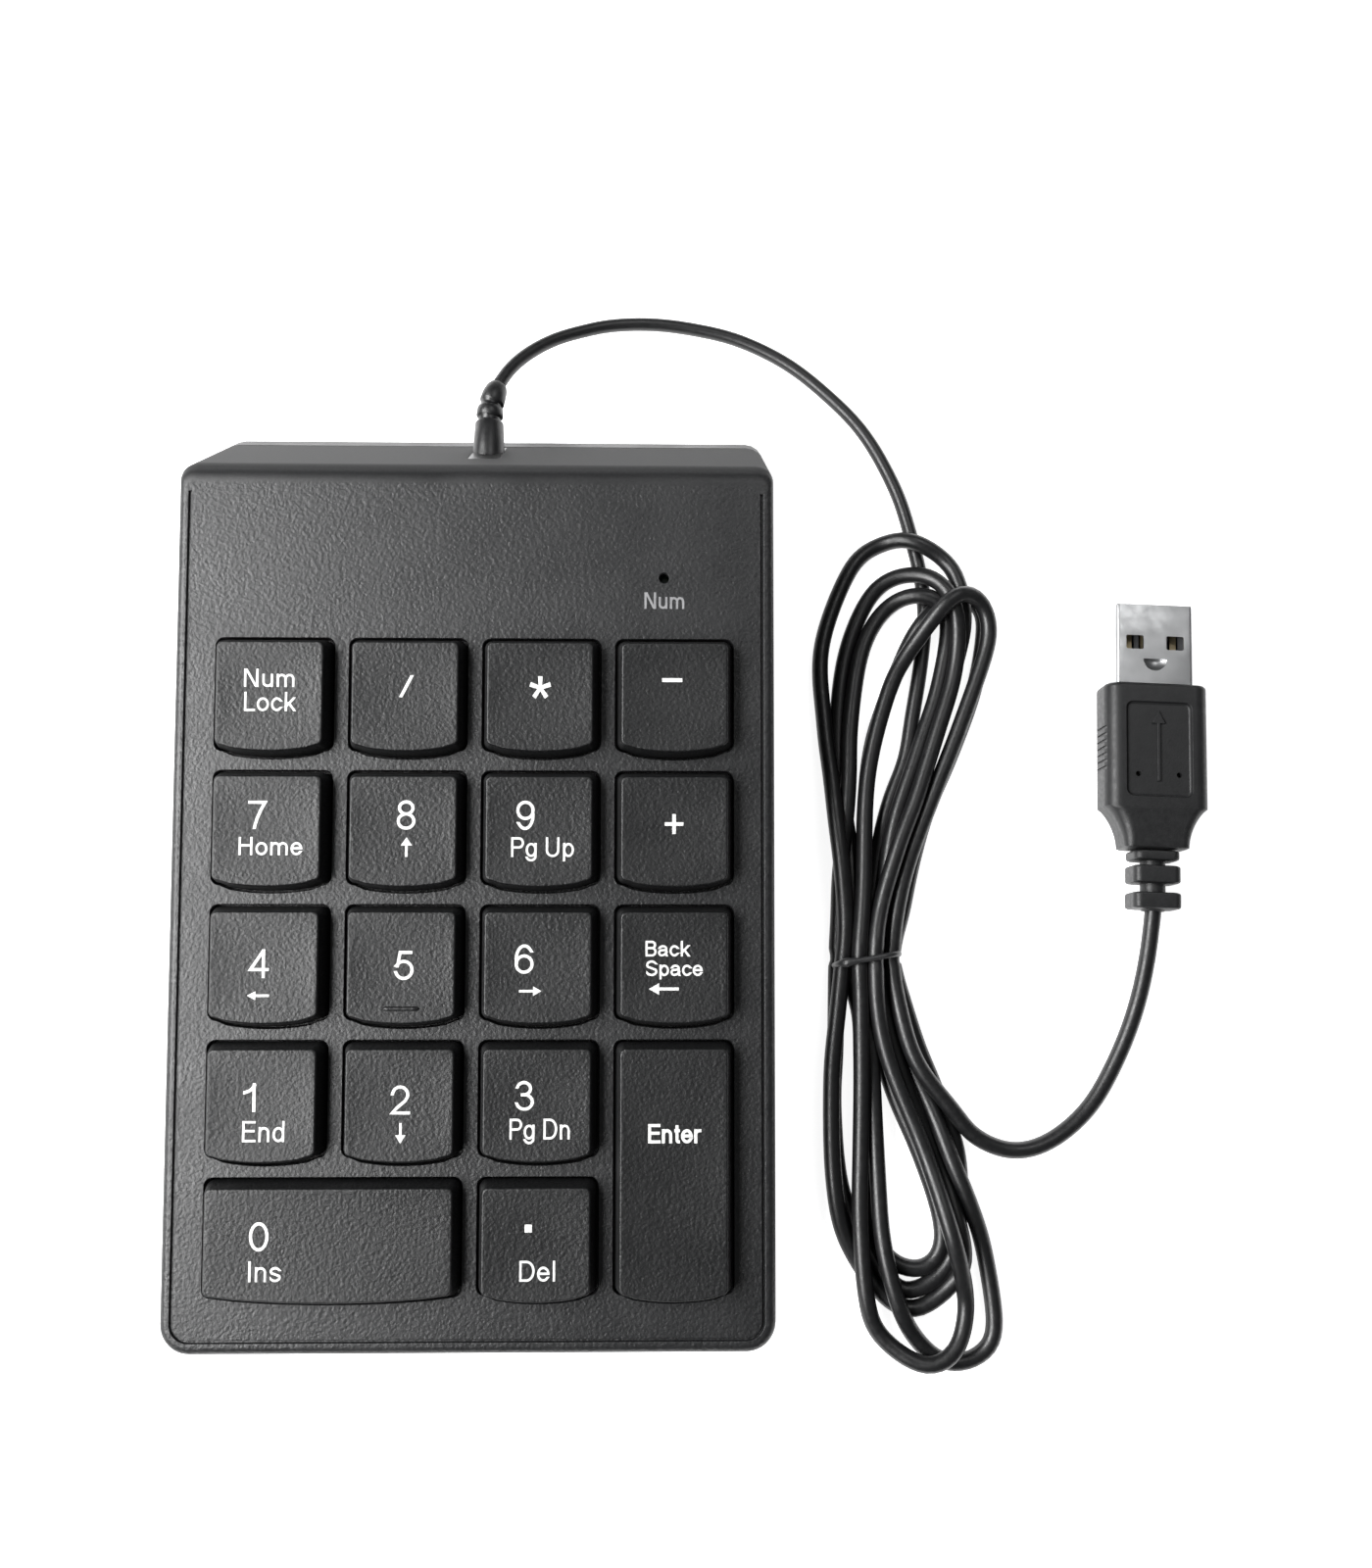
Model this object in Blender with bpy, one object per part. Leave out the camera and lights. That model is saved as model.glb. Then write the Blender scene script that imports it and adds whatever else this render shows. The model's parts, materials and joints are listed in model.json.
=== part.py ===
"""Wired numeric keypad: wedge housing, eighteen sprung keys, tied cord and USB-A plug.

Frame: origin on the desk under the middle of the housing, +X right, +Y towards the cord, +Z up.
Sizes are in millimetres and are scaled to metres when each object is made.
"""

import math

import bmesh
import bpy
from mathutils import Matrix, Vector

for old in list(bpy.data.objects):
    bpy.data.objects.remove(old, do_unlink=True)

MM = 0.001
GAP = 0.3

# Housing
HALF_WIDTH = 43.0
FRONT_Y = -69.15
REAR_Y = 69.15
CASE_BOTTOM = 1.2
FLOOR_TOP = 3.2
PARTING = 6.0
REAR_SLOPE = 0.565
WALL = 1.8
FRONT_RADIUS = 4.2
REAR_RADIUS = 2.8
SIDE_FILLET = 1.2
REAR_FILLET = 3.6
LIP_TOP = 7.5

# Key plane: the cover's outer face, tilted about X, with its origin at the centre of the "5" row
KEY_TILT = math.radians(5.0)
KEY_ORIGIN = Vector((0.0, -15.45, 18.07))
PITCH = 19.05
TRAVEL = 2.2

# Levels under the key plane
FACE_Z = 3.0
FLANGE_TOP = -2.1
FLANGE_BOTTOM = -2.9
PLUNGER_BOTTOM = -3.6
DOME_TOP = -3.9
SHEET_TOP = -6.9
SHEET_THICKNESS = 0.5
MEMBRANES = (("membrane_upper", -7.7), ("membrane_spacer", -8.2), ("membrane_lower", -8.7))
MEMBRANE_THICKNESS = 0.2
RIB_TOP = -9.2
BOARD_TOP = -9.3
BOARD_BOTTOM = -10.5

# Front edges of the one-unit openings and keys are arcs of this radius
ARC_RADIUS = 31.7

# Screws: x, y, bottom boss top, shank top, cover boss radius
CASE_SCREWS = (
    ("case_screw_front_left", -33.0, -64.95, 7.9, 11.0, 1.9),
    ("case_screw_front_right", 33.0, -64.95, 7.9, 11.0, 1.9),
    ("case_screw_rear_left", -36.0, 48.0, 11.7, 16.5, 2.4),
    ("case_screw_rear_right", 36.0, 48.0, 11.7, 16.5, 2.4),
)
PILOT_RADIUS = 1.15
BOARD_SCREWS = (("board_screw_left", -3.2, 54.2), ("board_screw_right", 19.2, 54.2))

# Two-unit keys carry a stabiliser bar: pivot offset, pivot level, half length, leg length
BAR_OFFSET = 5.0
BAR_Z = -5.4
BAR_HALF = 12.0
BAR_LEG = 6.0
BAR_REST = math.radians(30.0)
BAR_RADIUS = 0.5
CLIP_X = 7.0

# Cord and plug
CORD_RADIUS = 1.25
RELIEF_X = -0.1
RELIEF_Z = 10.5
HANK_BOTTOM = 1.0
HANK_TOP = 6.8
PLUG_ORIGIN = Vector((103.7, 28.2, 3.95))
PLUG_TURN = math.radians(-2.3)

KEYS = (
    # name, column, row, width in units, depth in units
    ("key_num_lock", 0, 0, 1, 1),
    ("key_divide", 1, 0, 1, 1),
    ("key_multiply", 2, 0, 1, 1),
    ("key_minus", 3, 0, 1, 1),
    ("key_7", 0, 1, 1, 1),
    ("key_8", 1, 1, 1, 1),
    ("key_9", 2, 1, 1, 1),
    ("key_plus", 3, 1, 1, 1),
    ("key_4", 0, 2, 1, 1),
    ("key_5", 1, 2, 1, 1),
    ("key_6", 2, 2, 1, 1),
    ("key_backspace", 3, 2, 1, 1),
    ("key_1", 0, 3, 1, 1),
    ("key_2", 1, 3, 1, 1),
    ("key_3", 2, 3, 1, 1),
    ("key_enter", 3, 3, 1, 2),
    ("key_0", 0, 4, 2, 1),
    ("key_decimal", 2, 4, 1, 1),
)

BLACK_ABS = ((0.035, 0.036, 0.038), 0.55, 0.0)
KEY_ABS = ((0.026, 0.027, 0.029), 0.5, 0.0)
SILICONE = ((0.78, 0.79, 0.76), 0.6, 0.0)
POLYESTER = ((0.62, 0.68, 0.7), 0.35, 0.0)
CIRCUIT = ((0.03, 0.16, 0.07), 0.45, 0.0)
STEEL = ((0.62, 0.62, 0.6), 0.3, 1.0)
RUBBER = ((0.02, 0.02, 0.02), 0.85, 0.0)
PVC = ((0.02, 0.021, 0.023), 0.42, 0.0)
LED_RESIN = ((0.35, 0.5, 0.3), 0.2, 0.0)
GOLD = ((0.83, 0.6, 0.22), 0.25, 1.0)
WHITE_PLASTIC = ((0.8, 0.8, 0.78), 0.5, 0.0)


# ---------------------------------------------------------------- mesh helpers


def key_frame():
    """Matrix from key-plane coordinates to the housing's, in millimetres."""
    return Matrix.Translation(KEY_ORIGIN) @ Matrix.Rotation(KEY_TILT, 4, "X")


def plug_frame():
    """Matrix from the plug's own coordinates, +Y towards its tip, in millimetres."""
    return Matrix.Translation(PLUG_ORIGIN) @ Matrix.Rotation(PLUG_TURN, 4, "Z")


def loft(rings, closed=False):
    """Skin equal rings of points. Open ends are capped."""
    count = len(rings[0])
    verts = [Vector(point) for ring in rings for point in ring]
    faces = []
    spans = len(rings) if closed else len(rings) - 1
    for k in range(spans):
        low = k * count
        high = ((k + 1) % len(rings)) * count
        for i in range(count):
            j = (i + 1) % count
            faces.append((low + i, low + j, high + j, high + i))
    if not closed:
        faces.append(tuple(reversed(range(count))))
        faces.append(tuple(range((len(rings) - 1) * count, len(rings) * count)))
    return verts, faces


def fan_end(shape, centre):
    """Replace a loft's last cap with a fan to a centre point."""
    verts, faces = shape
    last = faces.pop()
    verts.append(Vector(centre))
    for i, index in enumerate(last):
        faces.append((index, last[(i + 1) % len(last)], len(verts) - 1))
    return verts, faces


def placed(shape, matrix):
    return [matrix @ v for v in shape[0]], shape[1]


def merged(shapes):
    verts = []
    faces = []
    for part_verts, part_faces in shapes:
        base = len(verts)
        verts.extend(part_verts)
        faces.extend(tuple(base + i for i in face) for face in part_faces)
    return verts, faces


def box(x0, x1, y0, y1, z0, z1):
    ring = ((x0, y0), (x1, y0), (x1, y1), (x0, y1))
    return loft([[(x, y, z) for x, y in ring] for z in (z0, z1)])


def circle(radius, z, sides, x=0.0, y=0.0):
    step = 2.0 * math.pi / sides
    return [(x + radius * math.cos(step * i), y + radius * math.sin(step * i), z) for i in range(sides)]


def turned(profile, sides, x=0.0, y=0.0):
    """Solid turned about a vertical axis, from (radius, z) pairs."""
    return loft([circle(radius, z, sides, x, y) for radius, z in profile])


def outline(half_x, rear, front, radius, arc_radius=None, front_points=4, corner_steps=2):
    """Rounded rectangle with a bowed front edge, anticlockwise from the front left corner."""
    arc = arc_radius or 1e9
    sag = half_x * half_x / (2.0 * arc)
    corners = (
        (-half_x + radius, front + sag + radius, 180),
        (half_x - radius, front + sag + radius, 270),
        (half_x - radius, rear - radius, 0),
        (-half_x + radius, rear - radius, 90),
    )
    points = []
    for index, (cx, cy, start) in enumerate(corners):
        for k in range(corner_steps + 1):
            angle = math.radians(start + 90.0 * k / corner_steps)
            points.append((cx + radius * math.cos(angle), cy + radius * math.sin(angle)))
        if index == 0:
            reach = half_x - radius
            for k in range(1, front_points + 1):
                x = -reach + 2.0 * reach * k / (front_points + 1)
                points.append((x, front + x * x / (2.0 * arc)))
    return points


def at_level(points, z):
    return [(x, y, z) for x, y in points]


def scaled(points, factor, z):
    return [(x * factor, y * factor, z) for x, y in points]


def circle_like(points, radius, z):
    """Circle about the origin with one point for each outline point, in the same order."""
    ring = []
    for x, y in points:
        length = math.hypot(x, y)
        ring.append((radius * x / length, radius * y / length, z))
    return ring


def material(name, look):
    colour, roughness, metallic = look
    mat = bpy.data.materials.new(name)
    mat.use_nodes = True
    shader = mat.node_tree.nodes["Principled BSDF"]
    shader.inputs["Base Color"].default_value = (*colour, 1.0)
    shader.inputs["Roughness"].default_value = roughness
    shader.inputs["Metallic"].default_value = metallic
    return mat


def finish_mesh(mesh):
    work = bmesh.new()
    work.from_mesh(mesh)
    bmesh.ops.remove_doubles(work, verts=work.verts, dist=1e-6)
    bmesh.ops.recalc_face_normals(work, faces=work.faces)
    work.to_mesh(mesh)
    work.free()
    mesh.shade_smooth()
    mesh.set_sharp_from_angle(angle=math.radians(35.0))


def make(name, shape, look, matrix=None):
    """Object from millimetre geometry. With a matrix, it is placed by location and rotation."""
    mesh = bpy.data.meshes.new(name)
    mesh.from_pydata([v * MM for v in map(Vector, shape[0])], [], shape[1])
    finish_mesh(mesh)
    obj = bpy.data.objects.new(name, mesh)
    bpy.context.scene.collection.objects.link(obj)
    mesh.materials.append(material(name, look))
    if matrix is not None:
        obj.location = matrix.translation * MM
        obj.rotation_euler = matrix.to_euler()
    return obj


def combine(obj, shapes, operation):
    """Union with, or cut by, millimetre shapes in the object's own coordinates, applied."""
    cutters = []
    for shape in shapes:
        cutter = make("cutter", shape, BLACK_ABS)
        cutter.matrix_world = obj.matrix_basis.copy()
        modifier = obj.modifiers.new("combine", "BOOLEAN")
        modifier.operation = operation
        modifier.solver = "EXACT"
        modifier.object = cutter
        cutters.append(cutter)
    bpy.context.view_layer.update()
    graph = bpy.context.evaluated_depsgraph_get()
    mesh = bpy.data.meshes.new_from_object(obj.evaluated_get(graph))
    obj.modifiers.clear()
    look = obj.data.materials[0]
    obj.data = mesh
    mesh.materials.clear()
    mesh.materials.append(look)
    for cutter in cutters:
        bpy.data.objects.remove(cutter, do_unlink=True)
    finish_mesh(mesh)


# ---------------------------------------------------------------- housing


def plane_z(y, drop=0.0):
    return KEY_ORIGIN.z + (y - KEY_ORIGIN.y) * math.tan(KEY_TILT) - drop


def wall_y(z, inset=0.0):
    slant = math.cos(math.atan(REAR_SLOPE))
    return REAR_Y - REAR_SLOPE * (z - CASE_BOTTOM) - inset / slant


def housing_ring(inset, rear_y, level, steps=4):
    """Rounded plan outline. level(y, w) gives the height; w runs from 0 on the sides to 1 at the rear."""
    half = HALF_WIDTH - inset
    front = FRONT_Y + inset
    front_r = max(FRONT_RADIUS - inset, 0.6)
    rear_r = max(REAR_RADIUS - inset, 0.6)
    corners = (
        (-half + front_r, front + front_r, front_r, 180),
        (half - front_r, front + front_r, front_r, 270),
        (half - rear_r, rear_y - rear_r, rear_r, 0),
        (-half + rear_r, rear_y - rear_r, rear_r, 90),
    )
    ring = []
    for cx, cy, radius, start in corners:
        for k in range(steps + 1):
            angle = math.radians(start + 90.0 * k / steps)
            y = cy + radius * math.sin(angle)
            rearness = max(math.sin(angle), 0.0) ** 2
            ring.append((cx + radius * math.cos(angle), y, level(y, rearness)))
    return ring


def rear_fillet(radius):
    """Centre and end angles of the roll from the rear wall to the top, seen along X."""
    wall_angle = math.atan(REAR_SLOPE)
    top_angle = math.pi / 2.0 + KEY_TILT
    wall_normal = Vector((math.cos(wall_angle), math.sin(wall_angle)))
    top_normal = Vector((math.cos(top_angle), math.sin(top_angle)))
    wall_offset = wall_normal.dot(Vector((REAR_Y, CASE_BOTTOM))) - radius
    top_offset = top_normal.dot(Vector((KEY_ORIGIN.y, KEY_ORIGIN.z))) - radius
    rows = Matrix((wall_normal, top_normal))
    return rows.inverted() @ Vector((wall_offset, top_offset)), wall_angle, top_angle


def cover_shell():
    centre, wall_angle, top_angle = rear_fillet(REAR_FILLET)

    def edge_ring(share, rear_radius, fillet, inset, thickness):
        angle = wall_angle + (top_angle - wall_angle) * share
        rear_y = centre.x + rear_radius * math.cos(angle)
        rear_drop = plane_z(rear_y) - (centre.y + rear_radius * math.sin(angle))
        turn = 0.5 * math.pi * share
        side_inset = inset + fillet * (1.0 - math.cos(turn))
        side_drop = thickness + fillet * (1.0 - math.sin(turn))

        def level(y, rearness):
            return plane_z(y) - side_drop * (1.0 - rearness) - rear_drop * rearness

        return housing_ring(side_inset, rear_y, level)

    def flat_ring(z, inset):
        return housing_ring(inset, wall_y(z, inset), lambda y, rearness: z)

    rings = [
        edge_ring(1.0, REAR_FILLET - WALL, 0.8, WALL, WALL),
        edge_ring(0.0, REAR_FILLET - WALL, 0.8, WALL, WALL),
        flat_ring(PARTING, WALL),
        flat_ring(PARTING, 0.0),
    ]
    rings += [edge_ring(k / 5.0, REAR_FILLET, SIDE_FILLET, 0.0, 0.0) for k in range(6)]
    return loft(rings)


def key_cell(key):
    """Centre and extra half size of a key's cell, in key-plane coordinates."""
    _, column, row, wide, deep = key
    x = (column - 1.5 + 0.5 * (wide - 1)) * PITCH
    y = (2 - row - 0.5 * (deep - 1)) * PITCH
    return x, y, 0.5 * (wide - 1) * PITCH, 0.5 * (deep - 1) * PITCH


def key_outline(key, grow):
    """Key outline at the cover's face, grown by a margin; the opening is the outline at 0.3."""
    _, _, more_x, more_y = key_cell(key)
    half_x = 8.155 + more_x + grow
    arc = ARC_RADIUS if more_x == 0.0 else half_x * half_x / 1.9
    corner = max(1.1 + 0.4 * grow, 0.4)
    return outline(half_x, 8.21 + more_y + grow, -8.56 - more_y - grow, corner, arc)


def groove_cutter():
    """Narrow line that sets the rim off from the top, along the left, front and right edges."""
    half = HALF_WIDTH - 1.75
    front = (FRONT_Y + 1.85 - KEY_ORIGIN.y) / math.cos(KEY_TILT)
    rear = 68.0
    radius = 2.5
    path = [(-half, rear), (-half, front + radius)]
    for k in range(1, 6):
        angle = math.radians(180 + 15 * k)
        path.append((-half + radius + radius * math.cos(angle), front + radius + radius * math.sin(angle)))
    path += [(-half + radius, front)]
    path += [(-x, y) for x, y in reversed(path)]
    rings = []
    for i, (x, y) in enumerate(path):
        before = Vector(path[max(i - 1, 0)])
        after = Vector(path[min(i + 1, len(path) - 1)])
        along = (after - before).normalized()
        side = Vector((-along.y, along.x)) * 0.17
        rings.append([
            (x - side.x, y - side.y, -0.4),
            (x + side.x, y + side.y, -0.4),
            (x + side.x, y + side.y, 0.6),
            (x - side.x, y - side.y, 0.6),
        ])
    return placed(loft(rings), key_frame())


def top_cover():
    cover = make("top_cover", cover_shell(), BLACK_ABS)
    bosses = []
    pilots = []
    for _, x, y, seam, shank, radius in CASE_SCREWS:
        bosses.append(turned([(radius, seam + GAP), (radius, plane_z(y, 0.9))], 12, x, y))
        pilots.append(turned([(PILOT_RADIUS, seam - 1.0), (PILOT_RADIUS, shank + GAP)], 10, x, y))
    combine(cover, bosses, "UNION")
    frame = key_frame()
    openings = []
    for key in KEYS:
        x, y, _, _ = key_cell(key)
        points = [(x + px, y + py) for px, py in key_outline(key, 0.3)]
        openings.append(placed(loft([at_level(points, -3.2), at_level(points, 1.0)]), frame))
    light_hole = placed(turned([(0.7, -3.0), (0.7, 1.0)], 12, 27.1, 55.6), frame)
    cable_slot = box(RELIEF_X - 2.65, RELIEF_X + 2.65, 50.0, 75.0, PARTING - 1.0, 17.8)
    cuts = [merged(openings), light_hole, cable_slot, groove_cutter(), merged(pilots)]
    combine(cover, cuts, "DIFFERENCE")


def case_shell():
    def ring(z, inset):
        return housing_ring(inset, wall_y(z, inset), lambda y, rearness: z)

    seam = PARTING - GAP
    return loft([
        ring(CASE_BOTTOM, 0.6),
        ring(CASE_BOTTOM + 0.6, 0.0),
        ring(seam, 0.0),
        ring(seam, WALL + GAP),
        ring(LIP_TOP, WALL + GAP),
        ring(LIP_TOP, WALL + GAP + 1.0),
        ring(FLOOR_TOP, WALL + GAP + 1.0),
    ])


def support_ribs():
    """Ribs whose tops lie in one plane under the membranes, long ones under the key columns."""
    shapes = []
    for column in range(4):
        x = (column - 1.5) * PITCH
        top = [(-47.0, RIB_TOP), (47.0, RIB_TOP)]
        foot = []
        for y, z in top:
            point = key_frame() @ Vector((x, y, z))
            foot.append(Vector((x, point.y, FLOOR_TOP - 0.7)))
        rim = [key_frame() @ Vector((x, y, z)) for y, z in top]
        section = [foot[0], foot[1], rim[1], rim[0]]
        shapes.append(loft([[p + Vector((dx, 0, 0)) for p in section] for dx in (-0.75, 0.75)]))
    for row in range(5):
        y = (2 - row) * PITCH
        top = key_frame() @ Vector((0, y, RIB_TOP - 0.4))
        shapes.append(box(-36.0, 36.0, top.y - 0.6, top.y + 0.6, FLOOR_TOP - 0.7, top.z))
    return shapes


def bar_frame(key):
    """Key-plane matrix whose +X runs along the stabiliser bar's pivot."""
    x, y, more_x, _ = key_cell(key)
    turn = 0.0 if more_x else -math.pi / 2.0
    return Matrix.Translation((x, y, 0.0)) @ Matrix.Rotation(turn, 4, "Z")


def wide_keys():
    return [key for key in KEYS if key[3] > 1 or key[4] > 1]


def clip_posts():
    """Posts through the sheets, each with an eye that holds a stabiliser bar."""
    posts = []
    eyes = []
    for key in wide_keys():
        frame = key_frame() @ bar_frame(key)
        for x in (-CLIP_X, CLIP_X):
            post = box(x - 0.8, x + 0.8, BAR_OFFSET - 1.3, BAR_OFFSET + 1.3, -13.3, BAR_Z + 1.5)
            posts.append(placed(post, frame))
            ring = [(x - 1.5, p[0] + BAR_OFFSET, p[1] + BAR_Z) for p in circle(0.8, 0.0, 10)]
            far = [(x + 1.5, p[0] + BAR_OFFSET, p[1] + BAR_Z) for p in circle(0.8, 0.0, 10)]
            eyes.append(placed(loft([ring, far]), frame))
    return posts, eyes


def bottom_case():
    case = make("bottom_case", case_shell(), BLACK_ABS)
    frame = key_frame()
    solids = support_ribs()
    holes = []
    for _, x, y, seam, _, radius in CASE_SCREWS:
        solids.append(turned([(radius + 0.15, FLOOR_TOP - 0.7), (radius + 0.15, seam)], 14, x, y))
        holes.append(turned([(2.2, 0.0), (2.2, 2.7), (PILOT_RADIUS, 2.71), (PILOT_RADIUS, seam + 1.0)], 12, x, y))
    for _, x, y in BOARD_SCREWS:
        post = turned([(2.3, -20.2), (2.3, BOARD_BOTTOM - GAP)], 12, x, y)
        solids.append(placed(post, frame))
        pilot = turned([(PILOT_RADIUS, -16.5), (PILOT_RADIUS, BOARD_BOTTOM + 1.0)], 10, x, y)
        holes.append(placed(pilot, frame))
    posts, eyes = clip_posts()
    combine(case, solids + posts, "UNION")
    for x, y in FEET:
        holes.append(turned([(4.9, 0.0), (4.9, 1.7)], 20, x, y))
    relief_gap = box(RELIEF_X - 4.5, RELIEF_X + 4.5, 55.0, 68.0, PARTING - GAP, LIP_TOP + 1.0)
    combine(case, [merged(holes), merged(eyes), relief_gap], "DIFFERENCE")


FEET = ((-34.0, -54.5), (34.0, -54.5), (-34.0, 57.5), (34.0, 57.5))


def rubber_feet():
    places = ("front_left", "front_right", "rear_left", "rear_right")
    for place, (x, y) in zip(places, FEET):
        profile = [(4.1, 0.0), (4.5, 0.4), (4.5, 1.4)]
        make("foot_" + place, turned(profile, 20, x, y), RUBBER)


def case_screws():
    for name, x, y, _, shank, _ in CASE_SCREWS:
        profile = [(1.5, 1.35), (1.9, 1.6), (1.9, 2.4), (0.85, 2.41), (0.85, shank - 0.8), (0.3, shank)]
        make(name, turned(profile, 12, x, y), STEEL)


# ---------------------------------------------------------------- keys


def key_shape(key):
    """Hollow cap with flange, tapered walls, dished face and central plunger, as one skin."""
    base = key_outline(key, 0.0)
    flange = key_outline(key, 0.75)
    inner = key_outline(key, -1.15)
    ceiling = key_outline(key, -1.75)
    shoulder = key_outline(key, -0.56)
    rim = key_outline(key, -0.66)
    face = key_outline(key, -0.9)
    rings = [
        circle_like(ceiling, 2.5, PLUNGER_BOTTOM),
        circle_like(ceiling, 2.5, 1.5),
        at_level(ceiling, 1.5),
        at_level(inner, 0.0),
        at_level(inner, FLANGE_BOTTOM),
        at_level(flange, FLANGE_BOTTOM),
        at_level(flange, FLANGE_TOP),
        at_level(base, FLANGE_TOP),
        at_level(base, 0.0),
        at_level(shoulder, FACE_Z - 0.35),
        at_level(rim, FACE_Z - 0.08),
        at_level(face, FACE_Z),
        scaled(face, 0.62, FACE_Z - 0.16),
    ]
    return fan_end(loft(rings), (0.0, 0.0, FACE_Z - 0.22))


def bar_lugs(key):
    """Slotted lugs under a two-unit key that take the stabiliser bar's legs."""
    lugs = []
    slots = []
    for x in (-BAR_HALF, BAR_HALF):
        lugs.append(placed(box(x - 1.6, x + 1.6, 0.0, 0.8, -4.35, 2.0), turn_only(key)))
        slots.append(placed(box(x - 0.8, x + 0.8, -0.5, 1.3, -3.85, -1.55), turn_only(key)))
    return lugs, slots


def turn_only(key):
    return bar_frame(key).to_3x3().to_4x4()


def keycaps():
    for key in KEYS:
        x, y, more_x, more_y = key_cell(key)
        matrix = key_frame() @ Matrix.Translation((x, y, 0.0))
        cap = make(key[0], key_shape(key), KEY_ABS, matrix)
        if more_x or more_y:
            lugs, slots = bar_lugs(key)
            combine(cap, lugs, "UNION")
            combine(cap, slots, "DIFFERENCE")
        if key[0] == "key_5":
            combine(cap, [box(-2.3, 2.3, -6.0, -5.5, 2.5, 3.2)], "UNION")


def bent_tube(points, radii, sides):
    """Round bar through points, with a radius for each and mitred corners."""
    rings = []
    for i, (point, radius) in enumerate(zip(points, radii)):
        before = (point - points[i - 1]).normalized() if i else (points[1] - point).normalized()
        after = (points[i + 1] - point).normalized() if i < len(points) - 1 else before
        along = (before + after).normalized()
        up = Vector((0.0, 0.0, 1.0))
        if abs(along.z) > 0.9:
            up = Vector((0.0, 1.0, 0.0))
        side = along.cross(up).normalized()
        top = side.cross(along)
        stretch = 1.0 / max(math.sqrt((1.0 + before.dot(after)) / 2.0), 0.5)
        ring = []
        for k in range(sides):
            angle = 2.0 * math.pi * k / sides
            ring.append(point + side * (radius * stretch * math.cos(angle)) + top * (radius * math.sin(angle)))
        rings.append(ring)
    return loft(rings)


def stabiliser_bars():
    names = {"key_enter": "stabiliser_bar_enter", "key_0": "stabiliser_bar_zero"}
    reach = BAR_LEG * math.cos(BAR_REST)
    rise = BAR_LEG * math.sin(BAR_REST)
    for key in wide_keys():
        matrix = key_frame() @ bar_frame(key) @ Matrix.Translation((0.0, BAR_OFFSET, BAR_Z))
        points = [
            Vector((-BAR_HALF, -reach, rise)),
            Vector((-BAR_HALF, 0.0, 0.0)),
            Vector((BAR_HALF, 0.0, 0.0)),
            Vector((BAR_HALF, -reach, rise)),
        ]
        make(names[key[0]], bent_tube(points, [BAR_RADIUS] * 4, 8), STEEL, matrix)


# ---------------------------------------------------------------- sheets and board


def post_holes(low, high):
    """Cutters where the stabiliser posts pass through a sheet."""
    shapes = []
    for key in wide_keys():
        for x in (-CLIP_X, CLIP_X):
            hole = box(x - 1.2, x + 1.2, BAR_OFFSET - 1.7, BAR_OFFSET + 1.7, low, high)
            shapes.append(placed(hole, bar_frame(key)))
    return merged(shapes)


def dome_sheet():
    bottom = SHEET_TOP - SHEET_THICKNESS
    sheet = make("dome_sheet", placed(box(-37.4, 37.4, -47.0, 47.0, bottom, SHEET_TOP), key_frame()), SILICONE)
    domes = []
    hollows = []
    for key in KEYS:
        x, y, _, _ = key_cell(key)
        domes.append(turned([(3.8, SHEET_TOP - 0.2), (3.7, SHEET_TOP + 0.4), (2.7, DOME_TOP)], 10, x, y))
        hollows.append(turned([(3.2, bottom - 0.5), (3.2, SHEET_TOP + 0.3), (2.1, DOME_TOP - 0.7)], 10, x, y))
    combine(sheet, [placed(merged(domes), key_frame())], "UNION")
    cuts = merged(hollows), post_holes(bottom - 0.5, SHEET_TOP + 0.5)
    combine(sheet, [placed(cut, key_frame()) for cut in cuts], "DIFFERENCE")


def membranes():
    for name, top in MEMBRANES:
        low = top - MEMBRANE_THICKNESS
        sheet = make(name, placed(box(-36.8, 36.8, -46.8, 46.8, low, top), key_frame()), POLYESTER)
        if name == "membrane_lower":
            tail = box(-0.5, 16.5, 46.0, 56.6, low, top)
            combine(sheet, [placed(tail, key_frame())], "UNION")
        cuts = [post_holes(low - 0.3, top + 0.3)]
        if name == "membrane_spacer":
            windows = []
            for key in KEYS:
                x, y, _, _ = key_cell(key)
                windows.append(turned([(2.6, low - 0.3), (2.6, top + 0.3)], 8, x, y))
            cuts.append(merged(windows))
        combine(sheet, [placed(cut, key_frame()) for cut in cuts], "DIFFERENCE")


def controller():
    frame = key_frame()
    holes = [turned([(PILOT_RADIUS, -12.0), (PILOT_RADIUS, -4.0)], 10, x, y) for _, x, y in BOARD_SCREWS]
    drilled = [placed(merged(holes), frame)]
    board = make("controller_board", placed(box(-9.0, 33.0, 51.0, 65.0, BOARD_BOTTOM, BOARD_TOP), frame), CIRCUIT)
    combine(board, drilled, "DIFFERENCE")
    bar = make("clamp_bar", placed(box(-6.0, 22.0, 52.2, 56.2, -7.1, -5.1), frame), STEEL)
    combine(bar, drilled, "DIFFERENCE")
    make("pressure_pad", placed(box(0.2, 15.8, 52.5, 55.9, -8.4, -7.4), frame), SILICONE)
    make("controller_chip", placed(box(4.0, 12.0, 58.4, 63.4, -9.0, -7.4), frame), RUBBER)
    make("cord_header", placed(box(-7.6, -1.6, 58.6, 62.6, -9.0, -5.8), frame), WHITE_PLASTIC)
    for name, x, y in BOARD_SCREWS:
        profile = [(0.3, -15.8), (0.85, -15.0), (0.85, -4.81), (1.9, -4.8), (1.9, -4.0), (1.5, -3.7)]
        make(name, placed(turned(profile, 12, x, y), frame), STEEL)


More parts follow.
